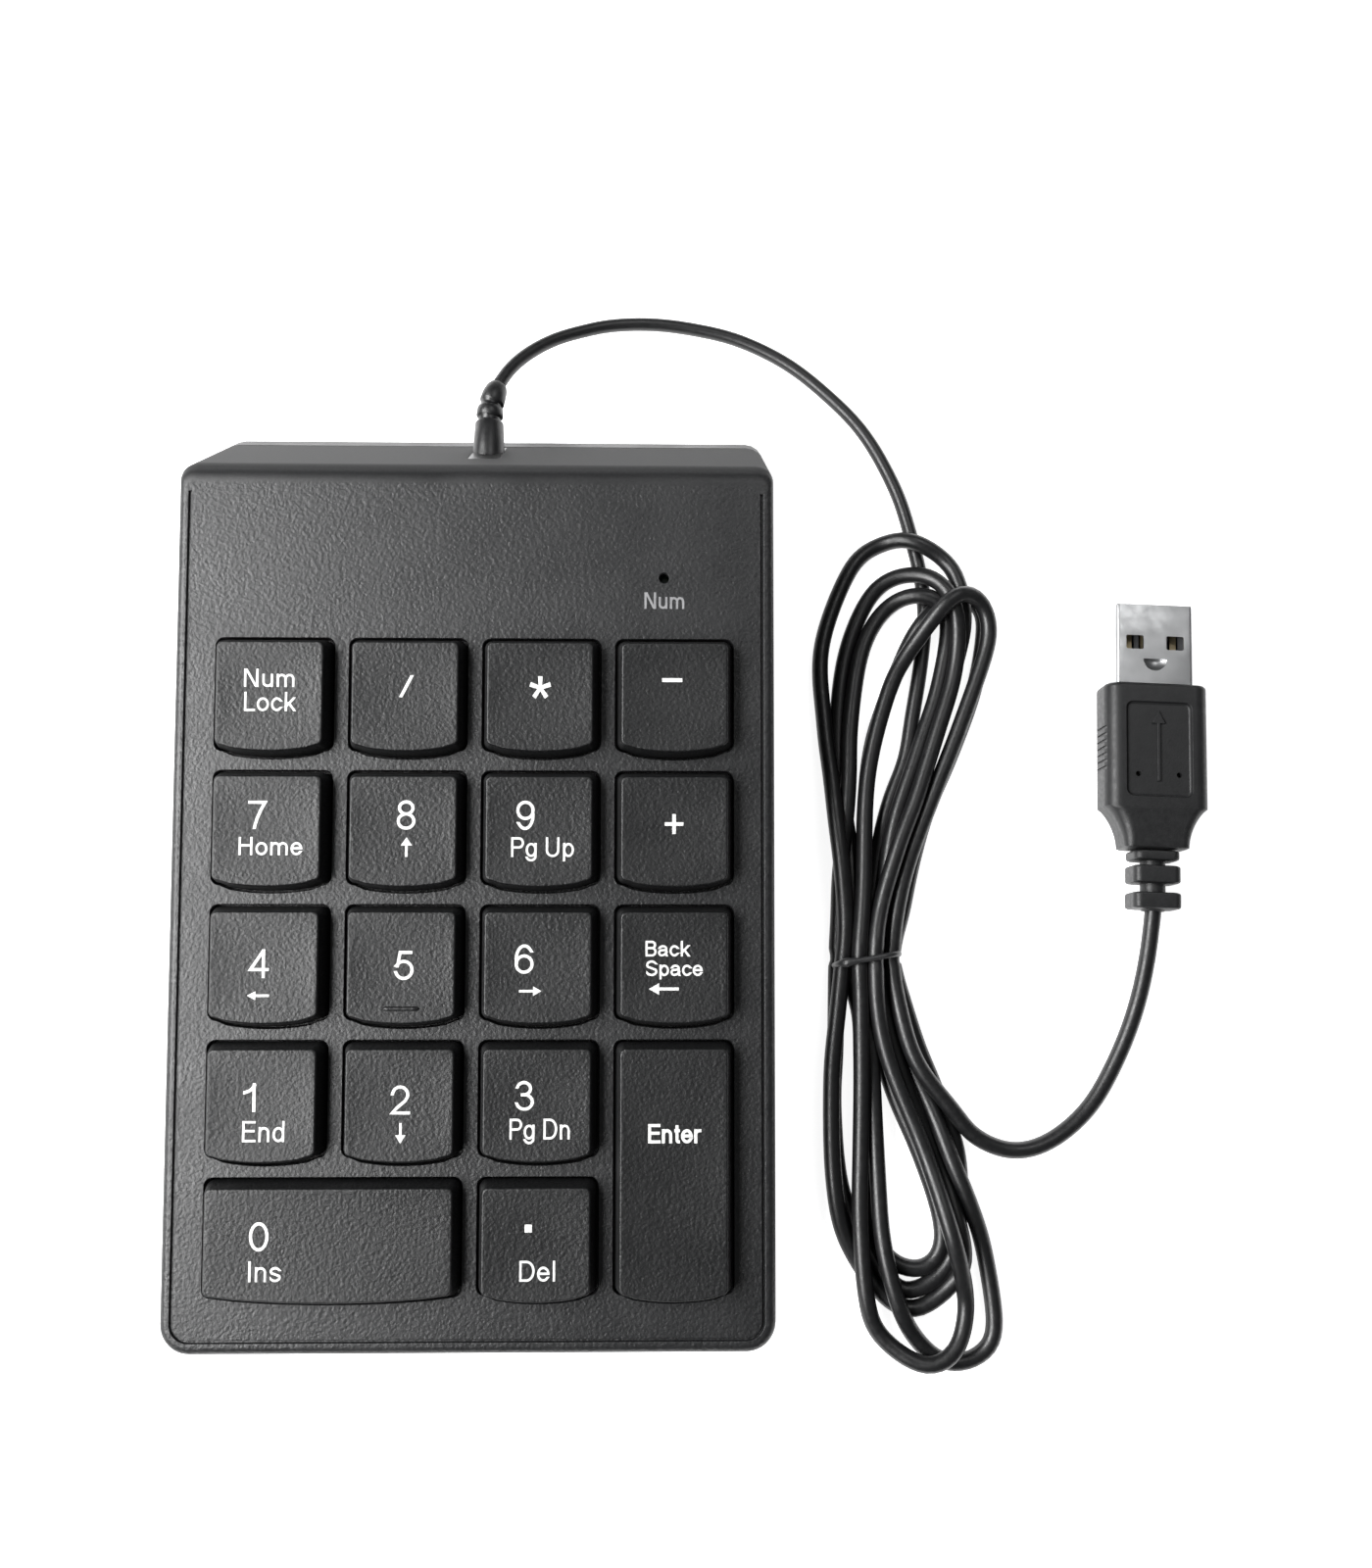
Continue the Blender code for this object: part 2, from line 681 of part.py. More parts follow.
def indicator():
    x, y = 27.1, 55.6
    profile = [(1.9, -6.6), (1.9, -5.9), (1.5, -5.85), (1.5, -3.4), (1.1, -2.7), (0.4, -2.3)]
    led = make("indicator_led", placed(turned(profile, 12, x, y), key_frame()), LED_RESIN)
    legs = [box(x + dx - 0.25, x + dx + 0.25, y - 0.25, y + 0.25, -9.0, -6.3) for dx in (-0.95, 0.95)]
    combine(led, [placed(leg, key_frame()) for leg in legs], "UNION")


# ---------------------------------------------------------------- strain relief, cord and plug


def smooth_curve(route, spacing):
    """Points at an even spacing along a Catmull-Rom curve through the route."""
    route = [Vector(p) for p in route]
    padded = [route[0] * 2 - route[1]] + route + [route[-1] * 2 - route[-2]]
    dense = []
    for i in range(1, len(padded) - 2):
        a, b, c, d = padded[i - 1:i + 3]
        for k in range(16):
            t = k / 16.0
            dense.append(0.5 * (2 * b + (c - a) * t + (2 * a - 5 * b + 4 * c - d) * t * t
                                + (3 * b - a - 3 * c + d) * t * t * t))
    dense.append(route[-1])
    lengths = [0.0]
    for before, after in zip(dense, dense[1:]):
        lengths.append(lengths[-1] + (after - before).length)
    count = max(round(lengths[-1] / spacing), 1)
    points = []
    index = 0
    for k in range(count + 1):
        goal = lengths[-1] * k / count
        while index < len(dense) - 2 and lengths[index + 1] < goal:
            index += 1
        span = lengths[index + 1] - lengths[index]
        points.append(dense[index].lerp(dense[index + 1], (goal - lengths[index]) / span))
    return points


def cord_tube(name, route):
    curve = bpy.data.curves.new(name, "CURVE")
    curve.dimensions = "3D"
    curve.bevel_depth = CORD_RADIUS * MM
    curve.bevel_resolution = 2
    curve.use_fill_caps = True
    points = smooth_curve(route, 2.5 * 2.0 * CORD_RADIUS)
    spline = curve.splines.new("POLY")
    spline.points.add(len(points) - 1)
    for slot, point in zip(spline.points, points):
        slot.co = (*(point * MM), 1.0)
    obj = bpy.data.objects.new(name, curve)
    bpy.context.scene.collection.objects.link(obj)
    curve.materials.append(material(name, PVC))


LEAD_ROUTE = (
    (1.25, 75.55, 9.43),
    (2.3, 77.8, 8.7),
    (4.2, 80.4, 7.7),
    (6.8, 82.9, 6.5),
    (10.0, 85.3, 5.2),
    (13.9, 87.1, 4.0),
    (18.0, 88.6, 3.0),
    (24.3, 89.4, 2.1),
    (30.7, 89.0, 1.6),
    (38.8, 87.2, 1.35),
    (46.8, 83.3, 1.3),
    (53.2, 78.2, 1.3),
    (59.5, 71.5, 1.3),
    (64.1, 63.2, 1.4),
    (66.6, 55.9, 1.6),
)

PLUG_ROUTE = (
    (70.5, -37.2, 2.2),
    (73.7, -40.8, 1.6),
    (79.6, -43.0, 1.35),
    (85.6, -41.5, 1.3),
    (91.8, -36.5, 1.35),
    (96.4, -29.1, 1.6),
    (99.4, -21.7, 2.4),
    (101.2, -14.2, 3.4),
    (102.28, -7.1, 3.95),
)

HANK_OUTLINE = (
    (66.0, 54.6), (71.0, 52.5), (75.5, 47.5), (79.0, 41.5), (80.4, 35.0), (78.6, 29.0),
    (74.8, 22.5), (71.2, 14.5), (67.6, 5.0), (64.6, -4.0), (62.6, -11.0), (62.6, -17.0),
    (64.0, -25.0), (66.8, -33.0), (70.5, -42.0), (75.0, -52.0), (78.2, -59.5), (79.0, -65.5),
    (77.2, -71.5), (72.5, -75.2), (66.0, -75.8), (60.0, -74.0), (56.3, -67.5), (53.8, -59.5),
    (51.0, -51.5), (49.6, -43.0), (49.8, -34.0), (51.5, -24.0), (53.6, -17.0), (53.6, -11.0),
    (52.3, 0.0), (50.4, 12.0), (49.4, 24.0), (50.2, 34.0), (53.3, 43.0), (58.5, 50.5),
)


NOZZLE = (
    # x, y, z, radius along the axis
    (0.0, 61.0, 10.5, 2.45), (0.0, 64.0, 10.5, 2.45), (0.0, 68.6, 10.5, 2.2), (0.0, 68.7, 10.5, 1.5),
    (0.01, 69.4, 10.49, 1.5), (0.02, 69.5, 10.48, 2.1), (0.12, 71.0, 10.4, 2.0), (0.14, 71.1, 10.39, 1.45),
    (0.24, 71.8, 10.31, 1.45), (0.27, 71.9, 10.29, 1.95), (0.62, 73.5, 10.0, 1.85), (1.15, 75.0, 9.6, 1.4),
)


def strain_relief():
    """Grommet in the rear wall with a ribbed nozzle that bends with the cord."""
    def slab(half, depth_in, depth_out, z0, z1):
        ring = []
        for z in (z0, z1):
            outer = wall_y(z)
            row = [(-half, outer - depth_out), (half, outer - depth_out)]
            row += [(half, outer - depth_in), (-half, outer - depth_in)]
            ring.append([(RELIEF_X + x, y, z) for x, y in row])
        return loft(ring)

    relief = make("strain_relief", slab(2.35, 0.45, 3.0, 6.3, 17.4), PVC)
    flange = slab(3.9, 2.4, 3.6, 6.4, 17.0)
    path = [Vector((RELIEF_X + x, y, z)) for x, y, z, _ in NOZZLE]
    nozzle = bent_tube(path, [radius for _, _, _, radius in NOZZLE], 12)
    combine(relief, [flange, nozzle], "UNION")


def cord_hank():
    make("cord_hank", loft([at_level(HANK_OUTLINE, z) for z in (HANK_BOTTOM, HANK_TOP)]), PVC)


def cable_tie():
    """Band round the waist of the hank, with its short twisted end."""
    def ring(y, grow):
        x0, x1 = 53.6 - GAP - grow, 62.6 + GAP + grow
        z0, z1 = HANK_BOTTOM - GAP - grow, HANK_TOP + GAP + grow
        r = GAP + grow
        points = []
        for cx, cz, start in ((x0 + r, z0 + r, 180), (x1 - r, z0 + r, 270), (x1 - r, z1 - r, 0), (x0 + r, z1 - r, 90)):
            for k in range(4):
                angle = math.radians(start + 30 * k)
                points.append((cx + r * math.cos(angle), y, cz + r * math.sin(angle)))
        return points

    make("cable_tie", loft([ring(-14.6, 0.7), ring(-13.2, 0.7), ring(-13.2, 0.0), ring(-14.6, 0.0)], closed=True), PVC)


def rounded_section(half_x, half_z, radius, y, steps=3):
    points = []
    for sx, sz, start in ((1, 1, 0), (-1, 1, 90), (-1, -1, 180), (1, -1, 270)):
        for k in range(steps + 1):
            angle = math.radians(start + 90.0 * k / steps)
            x = sx * (half_x - radius) + radius * math.cos(angle)
            z = sz * (half_z - radius) + radius * math.sin(angle)
            points.append((x, y, z))
    return points


def plug_body():
    """Overmould with concave shoulders and three grip rings round the cord."""
    sections = [
        (7.6, 3.45, 0.9, 0.0), (8.1, 3.95, 1.0, -0.5), (8.1, 3.95, 1.0, -19.3),
        (7.2, 3.75, 1.0, -20.4), (6.1, 3.55, 1.0, -22.0), (5.3, 3.4, 1.0, -24.0), (5.0, 3.3, 1.0, -25.3),
    ]
    core = 1.85
    for start, end, half in ((-25.8, -27.4, 3.5), (-28.1, -30.9, 3.65), (-32.2, -34.8, 3.7)):
        sections += [(core, core, 1.8, start + 0.05), (half, 3.0, 1.2, start), (half, 3.0, 1.2, end)]
        sections += [(core, core, 1.8, end - 0.05)]
    shape = loft([rounded_section(*section) for section in sections])
    body = make("plug_body", placed(shape, plug_frame()), PVC)
    panel = [(x, y - 10.0) for x, y in outline(5.0, 7.3, -7.3, 1.0, None, 0, 3)]
    recess = loft([at_level(panel, 3.55), at_level(panel, 4.5)])
    combine(body, [placed(recess, plug_frame())], "DIFFERENCE")


def plug_shell():
    outer = (6.0, 2.25, 0.5)
    inner = (5.7, 1.95, 0.3)
    rings = [rounded_section(*outer, y) for y in (0.3, 12.9)]
    rings += [rounded_section(*inner, y) for y in (12.9, 0.3)]
    shell = make("plug_shell", placed(loft(rings, closed=True), plug_frame()), STEEL)
    windows = []
    for x in (-2.95, 2.95):
        windows.append(box(x - 1.25, x + 1.25, 6.1, 8.4, 1.5, 3.0))
        windows.append(box(x - 1.25, x + 1.25, 6.1, 8.4, -3.0, -1.5))
    combine(shell, [placed(merged(windows), plug_frame())], "DIFFERENCE")


def plug_tongue():
    tongue = make("plug_tongue", placed(box(-5.3, 5.3, 0.6, 12.0, -1.6, 0.2), plug_frame()), WHITE_PLASTIC)
    grooves = []
    for index, x in enumerate(CONTACT_X):
        grooves.append(box(x - 0.85, x + 0.85, -1.0, 11.2, -0.6, 1.0))
        strip = placed(box(x - 0.5, x + 0.5, 0.6, 10.6, -0.3, 0.15), plug_frame())
        make("plug_contact_%d" % (index + 1), strip, GOLD)
    combine(tongue, [placed(merged(grooves), plug_frame())], "DIFFERENCE")


CONTACT_X = (-3.5, -1.1, 1.1, 3.5)


def build():
    top_cover()
    bottom_case()
    rubber_feet()
    case_screws()
    keycaps()
    stabiliser_bars()
    dome_sheet()
    membranes()
    controller()
    indicator()
    strain_relief()
    cord_tube("cord_lead", LEAD_ROUTE)
    cord_hank()
    cord_tube("cord_plug_lead", PLUG_ROUTE)
    cable_tie()
    plug_body()
    plug_shell()
    plug_tongue()


build()
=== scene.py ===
"""Numeric keypad with a tied cord and a USB-A plug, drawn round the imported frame.

Sizes are millimetres in the frame's axes and are scaled to metres when each object is made.
"""

import json
import math

import bmesh
import bpy
import numpy as np
from mathutils import Matrix, Vector


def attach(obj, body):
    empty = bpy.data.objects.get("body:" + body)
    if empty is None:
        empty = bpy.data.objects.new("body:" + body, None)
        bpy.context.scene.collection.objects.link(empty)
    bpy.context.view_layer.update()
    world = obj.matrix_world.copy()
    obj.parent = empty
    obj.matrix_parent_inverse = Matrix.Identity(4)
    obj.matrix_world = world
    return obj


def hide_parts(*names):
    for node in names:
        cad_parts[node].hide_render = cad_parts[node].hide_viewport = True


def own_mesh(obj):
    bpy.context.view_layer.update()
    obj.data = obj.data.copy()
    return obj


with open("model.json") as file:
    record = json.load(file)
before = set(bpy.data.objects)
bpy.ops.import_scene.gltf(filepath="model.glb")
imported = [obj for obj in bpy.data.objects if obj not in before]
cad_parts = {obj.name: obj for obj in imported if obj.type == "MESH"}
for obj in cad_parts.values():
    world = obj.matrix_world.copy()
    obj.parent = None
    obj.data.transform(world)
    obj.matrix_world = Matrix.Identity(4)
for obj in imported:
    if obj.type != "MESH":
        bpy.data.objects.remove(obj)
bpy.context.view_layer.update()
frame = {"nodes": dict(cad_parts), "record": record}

MM = 0.001
HOUSING = "housing"
UPRIGHT = Vector((0.0, 0.0, 1.0))

# ---- camera, floor and light

CAMERA_PLACE = (0.026045, -0.021522, 0.225218)
CAMERA_TURN = (8.808, -1.172, -0.040)
ROOM_STRENGTH = 0.1

scene = bpy.context.scene
camera = bpy.data.objects.new("camera", bpy.data.cameras.new("camera"))
scene.collection.objects.link(camera)
scene.camera = camera
camera.location = CAMERA_PLACE
camera.rotation_euler = [math.radians(angle) for angle in CAMERA_TURN]
camera.data.sensor_fit = "HORIZONTAL"
camera.data.sensor_width = 36.0
camera.data.lens = 38.0
camera.data.clip_start = 0.005
scene.view_settings.view_transform = "Standard"

# The object stands in a dim room, and the camera sees a white background behind it.
world = bpy.data.worlds.new("studio")
scene.world = world
world.use_nodes = True
world_nodes = world.node_tree.nodes
world_links = world.node_tree.links
room = world_nodes["Background"]
room.inputs["Color"].default_value = (0.97, 0.98, 1.0, 1.0)
room.inputs["Strength"].default_value = ROOM_STRENGTH
backdrop = world_nodes.new("ShaderNodeBackground")
backdrop.inputs["Color"].default_value = (1.0, 1.0, 1.0, 1.0)
seen = world_nodes.new("ShaderNodeMixShader")
world_links.new(world_nodes.new("ShaderNodeLightPath").outputs["Is Camera Ray"], seen.inputs[0])
world_links.new(room.outputs["Background"], seen.inputs[1])
world_links.new(backdrop.outputs["Background"], seen.inputs[2])
world_links.new(seen.outputs["Shader"], world_nodes["World Output"].inputs["Surface"])


def area_light(name, place, target, size, power):
    """Rectangular lamp, in metres and watts, that lights the object and isn't seen itself."""
    light = bpy.data.lights.new(name, "AREA")
    light.shape = "RECTANGLE"
    light.size, light.size_y = size
    light.energy = power
    obj = bpy.data.objects.new(name, light)
    scene.collection.objects.link(obj)
    obj.location = place
    obj.visible_camera = False
    obj.rotation_euler = (Vector(target) - Vector(place)).to_track_quat("-Z", "Y").to_euler()


area_light("key_light", (-0.27, -0.01, 0.33), (0.0, 0.0, 0.0), (0.5, 0.2), 5.9)
area_light("rear_light", (0.27, 0.42, 0.8), (0.05, 0.0, 0.0), (0.35, 0.35), 1.3)


# ---- materials


class Look:
    """One node-based material. Every value that is even over a surface sits on the shader's own socket."""

    def __init__(self, name, colour, roughness, metallic=0.0, specular=0.5):
        self.mat = bpy.data.materials.new(name)
        self.mat.use_nodes = True
        self.tree = self.mat.node_tree
        self.shader = self.tree.nodes["Principled BSDF"]
        self.feed(self.shader, {"Base Color": (*colour, 1.0), "Roughness": roughness,
                                "Metallic": metallic, "Specular IOR Level": specular})
        self.colour = colour
        self.coords = self.node("ShaderNodeTexCoord").outputs["Object"]

    def feed(self, node, sockets):
        """Give each socket its value, or link it to the output that makes its value."""
        for name, value in sockets.items():
            if isinstance(value, bpy.types.NodeSocket):
                self.tree.links.new(value, node.inputs[name])
            else:
                node.inputs[name].default_value = value

    def node(self, kind, sockets={}, **settings):
        made = self.tree.nodes.new(kind)
        for key, value in settings.items():
            setattr(made, key, value)
        self.feed(made, sockets)
        return made

    def noise(self, scale, detail=3.0, roughness=0.55, stretch=(1.0, 1.0, 1.0)):
        """Noise whose scale counts features per millimetre."""
        mapping = self.node("ShaderNodeMapping", {"Scale": stretch, "Vector": self.coords})
        sockets = {"Scale": scale / MM, "Detail": detail, "Roughness": roughness,
                   "Vector": mapping.outputs["Vector"]}
        return self.node("ShaderNodeTexNoise", sockets).outputs["Fac"]

    def cells(self, scale):
        sockets = {"Scale": scale / MM, "Vector": self.coords}
        return self.node("ShaderNodeTexVoronoi", sockets, feature="SMOOTH_F1").outputs["Distance"]

    def span(self, source, low, high, start=0.3, end=0.7):
        """Value that runs from low to high while the source runs from start to end."""
        sockets = {"From Min": start, "From Max": end, "To Min": low, "To Max": high, "Value": source}
        return self.node("ShaderNodeMapRange", sockets).outputs["Result"]

    def math(self, operation, first, second):
        return self.node("ShaderNodeMath", {0: first, 1: second}, operation=operation).outputs["Value"]

    def tint(self, source, low, high, start=0.3, end=0.7):
        """Base colour that runs between two shares of the plain colour."""
        mix = self.node("ShaderNodeMix", data_type="RGBA")
        dark, light = [(*(c * share for c in self.colour), 1.0) for share in (low, high)]
        self.feed(mix, {"Factor": self.span(source, 0.0, 1.0, start, end), "A": dark, "B": light})
        self.feed(self.shader, {"Base Color": mix.outputs["Result"]})

    def rough(self, source, low, high):
        self.feed(self.shader, {"Roughness": self.span(source, low, high)})

    def bump(self, source, height, strength=1.0):
        """Bump of a given height in millimetres."""
        bump = self.node("ShaderNodeBump", {"Distance": height * MM, "Strength": strength, "Height": source})
        self.feed(self.shader, {"Normal": bump.outputs["Normal"]})

    def axis(self, name):
        return self.node("ShaderNodeSeparateXYZ", {"Vector": self.coords}).outputs[name]


# Y at which the cover's grain ends, and the roughness beyond it
SMOOTH_FROM = 53.6
SATIN_ROUGHNESS = 0.78


def spark_plastic(name, colour, roughness, grain, height, smooth_from=None, specular=0.5):
    """Black moulded plastic with an eroded spark finish, smooth beyond smooth_from along Y."""
    look = Look(name, colour, roughness, specular=specular)
    fine = look.noise(grain, 3.0, 0.6)
    pits = look.cells(grain * 0.75)
    relief = look.math("ADD", look.math("MULTIPLY", pits, 0.8), fine)
    strength = 1.0
    if smooth_from is not None:
        strength = look.span(look.axis("Y"), 1.0, 0.04, (smooth_from - 0.25) * MM, (smooth_from + 0.25) * MM)
    look.bump(relief, height, strength)
    look.tint(fine, 0.6, 1.5)
    uneven = look.span(look.noise(0.12, 3.0), roughness - 0.04, roughness + 0.05)
    if smooth_from is not None:
        start, end = (smooth_from + 0.5) * MM, (smooth_from + 2.5) * MM
        satin = look.span(look.axis("Y"), 0.0, SATIN_ROUGHNESS, start, end)
        uneven = look.math("MAXIMUM", uneven, satin)
    look.feed(look.shader, {"Roughness": uneven})
    return look.mat


def moulded(name, colour, roughness, grain=2.0, height=0.01, metallic=0.0, specular=0.5):
    """Plain moulded or rolled material with faint mottling."""
    look = Look(name, colour, roughness, metallic, specular)
    fine = look.noise(grain, 3.0)
    look.bump(fine, height)
    look.tint(look.noise(grain * 0.15, 2.0), 0.88, 1.12)
    look.rough(look.noise(grain * 0.4, 3.0), max(roughness - 0.06, 0.05), roughness + 0.08)
    return look.mat


def brushed_steel():
    look = Look("shell_steel", (0.42, 0.425, 0.43), 0.36, 1.0)
    lines = look.noise(2.6, 3.0, 0.6, (1.0, 0.04, 1.0))
    look.bump(lines, 0.006)
    look.rough(look.noise(0.5, 3.0), 0.3, 0.44)
    look.tint(look.noise(0.22, 2.0), 0.86, 1.08)
    return look.mat


def circuit_board():
    look = Look("circuit", (0.02, 0.12, 0.05), 0.35)
    sockets = {"Scale": 320.0, "Distortion": 2.0, "Vector": look.coords}
    tracks = look.node("ShaderNodeTexWave", sockets, wave_type="BANDS", bands_direction="X").outputs["Fac"]
    look.tint(tracks, 0.8, 1.7, 0.55, 0.62)
    look.bump(tracks, 0.02)
    look.rough(look.noise(0.8, 3.0), 0.28, 0.45)
    return look.mat


COVER_LOOK = spark_plastic("cover_plastic", (0.0065, 0.0067, 0.0072), 0.42, 2.5, 0.065, SMOOTH_FROM)
CASE_LOOK = spark_plastic("case_plastic", (0.0065, 0.0067, 0.007), 0.5, 2.5, 0.055)
KEY_LOOK = spark_plastic("key_plastic", (0.0044, 0.0046, 0.0049), 0.42, 2.6, 0.065, specular=0.4)
CORD_LOOK = moulded("cord_pvc", (0.0055, 0.0056, 0.006), 0.38, 3.0, 0.012)
PLUG_LOOK = moulded("plug_pvc", (0.0095, 0.0097, 0.0102), 0.46, 3.5, 0.02, specular=0.4)
TIE_LOOK = moulded("tie_pvc", (0.018, 0.0182, 0.019), 0.34, 2.0, 0.015)
RUBBER_LOOK = moulded("foot_rubber", (0.018, 0.018, 0.018), 0.8, 4.0, 0.03)
INK_LOOK = moulded("legend_ink", (0.62, 0.62, 0.61), 0.55, 5.0, 0.006)
GREY_INK_LOOK = moulded("grey_ink", (0.2, 0.2, 0.205), 0.5, 5.0, 0.004)
SILICONE_LOOK = moulded("dome_silicone", (0.72, 0.73, 0.7), 0.55, 1.5, 0.02)
FILM_LOOK = moulded("contact_film", (0.55, 0.62, 0.66), 0.3, 1.0, 0.004)
STEEL_LOOK = moulded("zinc_steel", (0.58, 0.58, 0.56), 0.34, 4.0, 0.008, 1.0)
SHELL_LOOK = brushed_steel()
# Painted shade: the plug's tongue and gold contacts are set far darker than their own colours, to stand for
# the dim inside of the shell.
SHADE_DARKENED_TONGUE_LOOK = moulded("tongue_plastic_painted_shade", (0.05, 0.051, 0.053), 0.5, 3.0, 0.006)
SHADE_DARKENED_GOLD_LOOK = moulded("gold_plate_painted_shade", (0.3, 0.25, 0.16), 0.45, 3.0, 0.004, 1.0)
CHIP_LOOK = moulded("chip_epoxy", (0.03, 0.03, 0.032), 0.6, 5.0, 0.01)
LED_LOOK = moulded("led_resin", (0.05, 0.07, 0.05), 0.2, 2.0, 0.004)
CIRCUIT_LOOK = circuit_board()

SLOT_LOOKS = {
    "top_cover": COVER_LOOK, "bottom_case": CASE_LOOK, "keys": KEY_LOOK, "domes": SILICONE_LOOK,
    "film": FILM_LOOK, "circuit": CIRCUIT_LOOK, "steel": STEEL_LOOK, "chip": CHIP_LOOK, "feet": RUBBER_LOOK,
    "pad": SILICONE_LOOK, "header": FILM_LOOK, "led": LED_LOOK, "cord": CORD_LOOK, "tie": TIE_LOOK,
    "plug": PLUG_LOOK, "shell": SHELL_LOOK, "tongue": SHADE_DARKENED_TONGUE_LOOK, "gold": SHADE_DARKENED_GOLD_LOOK,
}
for part in frame["record"]["subparts"]:
    cad = frame["nodes"][part["node"]]
    cad.data.materials.clear()
    cad.data.materials.append(SLOT_LOOKS[part["material_slot"]])


# ---- mesh helpers

CORNER_STEPS = 7


def loft(rings, closed=False):
    """Skin equal rings of points. Open ends are capped."""
    count = len(rings[0])
    verts = [Vector(point) for ring in rings for point in ring]
    faces = []
    for k in range(len(rings) if closed else len(rings) - 1):
        low = k * count
        high = ((k + 1) % len(rings)) * count
        faces += [(low + i, low + (i + 1) % count, high + (i + 1) % count, high + i) for i in range(count)]
    if not closed:
        faces.append(tuple(reversed(range(count))))
        faces.append(tuple(range((len(rings) - 1) * count, len(rings) * count)))
    return verts, faces


def placed(shape, matrix):
    return [matrix @ v for v in shape[0]], shape[1]


def merged(shapes):
    verts = []
    faces = []
    for more_verts, more_faces in shapes:
        base = len(verts)
        verts.extend(more_verts)
        faces.extend(tuple(base + i for i in face) for face in more_faces)
    return verts, faces


def box(x0, x1, y0, y1, z0, z1):
    ring = ((x0, y0), (x1, y0), (x1, y1), (x0, y1))
    return loft([[(x, y, z) for x, y in ring] for z in (z0, z1)])


def around(sides):
    """Even angles round a circle."""
    return [2.0 * math.pi * k / sides for k in range(sides)]


def oval(centre, across, up, sides):
    """Points round an oval, from its two half axes."""
    return [centre + across * math.cos(a) + up * math.sin(a) for a in around(sides)]


def quarter(cx, cy, radius, start):
    """Points round a quarter turn that starts at an angle in degrees."""
    angles = [math.radians(start + 90.0 * k / CORNER_STEPS) for k in range(CORNER_STEPS + 1)]
    return [(cx + radius * math.cos(a), cy + radius * math.sin(a)) for a in angles]


def turned(profile, sides, x=0.0, y=0.0, closed=False):
    """Solid turned about a vertical axis, from (radius, z) pairs."""
    turns = around(sides)
    return loft([[(x + r * math.cos(a), y + r * math.sin(a), z) for a in turns] for r, z in profile], closed)


def finish_mesh(mesh, angle=35.0):
    work = bmesh.new()
    work.from_mesh(mesh)
    bmesh.ops.remove_doubles(work, verts=work.verts, dist=1e-6)
    bmesh.ops.recalc_face_normals(work, faces=work.faces)
    work.to_mesh(mesh)
    work.free()
    mesh.shade_smooth()
    mesh.set_sharp_from_angle(angle=math.radians(angle))


def make(name, shape, look, matrix=None, angle=35.0):
    """Object from millimetre geometry, with its place in its vertices."""
    verts, faces = shape if matrix is None else placed(shape, matrix)
    mesh = bpy.data.meshes.new(name)
    mesh.from_pydata([v * MM for v in map(Vector, verts)], [], faces)
    finish_mesh(mesh, angle)
    mesh.materials.append(look)
    obj = bpy.data.objects.new(name, mesh)
    scene.collection.objects.link(obj)
    return obj


def combine(obj, shapes, operation, angle=35.0):
    """Union with, or cut by, millimetre shapes, applied."""
    look = obj.data.materials[0]
    cutters = []
    for shape in shapes:
        cutter = make("cutter", shape, look)
        modifier = obj.modifiers.new("combine", "BOOLEAN")
        modifier.operation = operation
        modifier.solver = "EXACT"
        modifier.object = cutter
        cutters.append(cutter)
    bpy.context.view_layer.update()
    mesh = bpy.data.meshes.new_from_object(obj.evaluated_get(bpy.context.evaluated_depsgraph_get()))
    obj.modifiers.clear()
    obj.data = mesh
    mesh.materials.clear()
    mesh.materials.append(look)
    for cutter in cutters:
        bpy.data.objects.remove(cutter, do_unlink=True)
    finish_mesh(mesh, angle)


def even_normals(obj):
    modifier = obj.modifiers.new("even_normals", "WEIGHTED_NORMAL")
    modifier.keep_sharp = True
    modifier.weight = 100


def stand_for(obj, body, slot, *nodes):
    """The piece rides on a body and hides the CAD nodes it stands for. Its slot argument is not used."""
    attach(obj, body)
    if nodes:
        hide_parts(*nodes)
    return obj


FLOOR_HALF = 4000.0
FLOOR_LOOK = Look("lit_table", (0.86, 0.86, 0.865), 0.8)
FLOOR_LOOK.tint(FLOOR_LOOK.noise(0.02, 2.0), 0.98, 1.0)
FLOOR_LOOK.feed(FLOOR_LOOK.shader, {"Emission Color": (1.0, 1.0, 1.0, 1.0), "Emission Strength": 0.9})
floor_corners = [(x * FLOOR_HALF, y * FLOOR_HALF, 0.0) for x, y in ((-1, -1), (1, -1), (1, 1), (-1, 1))]
floor = make("floor", (floor_corners, [(0, 1, 2, 3)]), FLOOR_LOOK.mat)


# ---- cord

CORD_DIAMETER = 2.5
# Routes are (x, y, z), or (x, y) where the cord rests on the table.
RESTING = 1.3
LEAD_ROUTE = (
    (1.25, 75.55, 9.43), (2.3, 77.8, 8.7), (4.2, 80.4, 7.7), (6.8, 82.9, 6.5), (10, 85.3, 5.2),
    (13.9, 87.1, 4), (18, 88.6, 3), (24.3, 89.4, 2.1), (30.7, 89, 1.6), (38.8, 87.2, 1.35), (46.8, 83.3),
    (53.2, 78.2), (59.5, 71.5), (64.1, 63.2, 1.4), (66.6, 55.9, 1.6),
)
PLUG_ROUTE = (
    (70.5, -37.2, 2.2), (73.7, -40.8, 1.6), (79.6, -43, 1.35), (85.6, -41.5), (91.8, -36.5, 1.35),
    (96.4, -29.1, 1.6), (99.4, -21.7, 2.4), (101.2, -14.2, 3.4), (102.28, -7.1, 3.95),
)
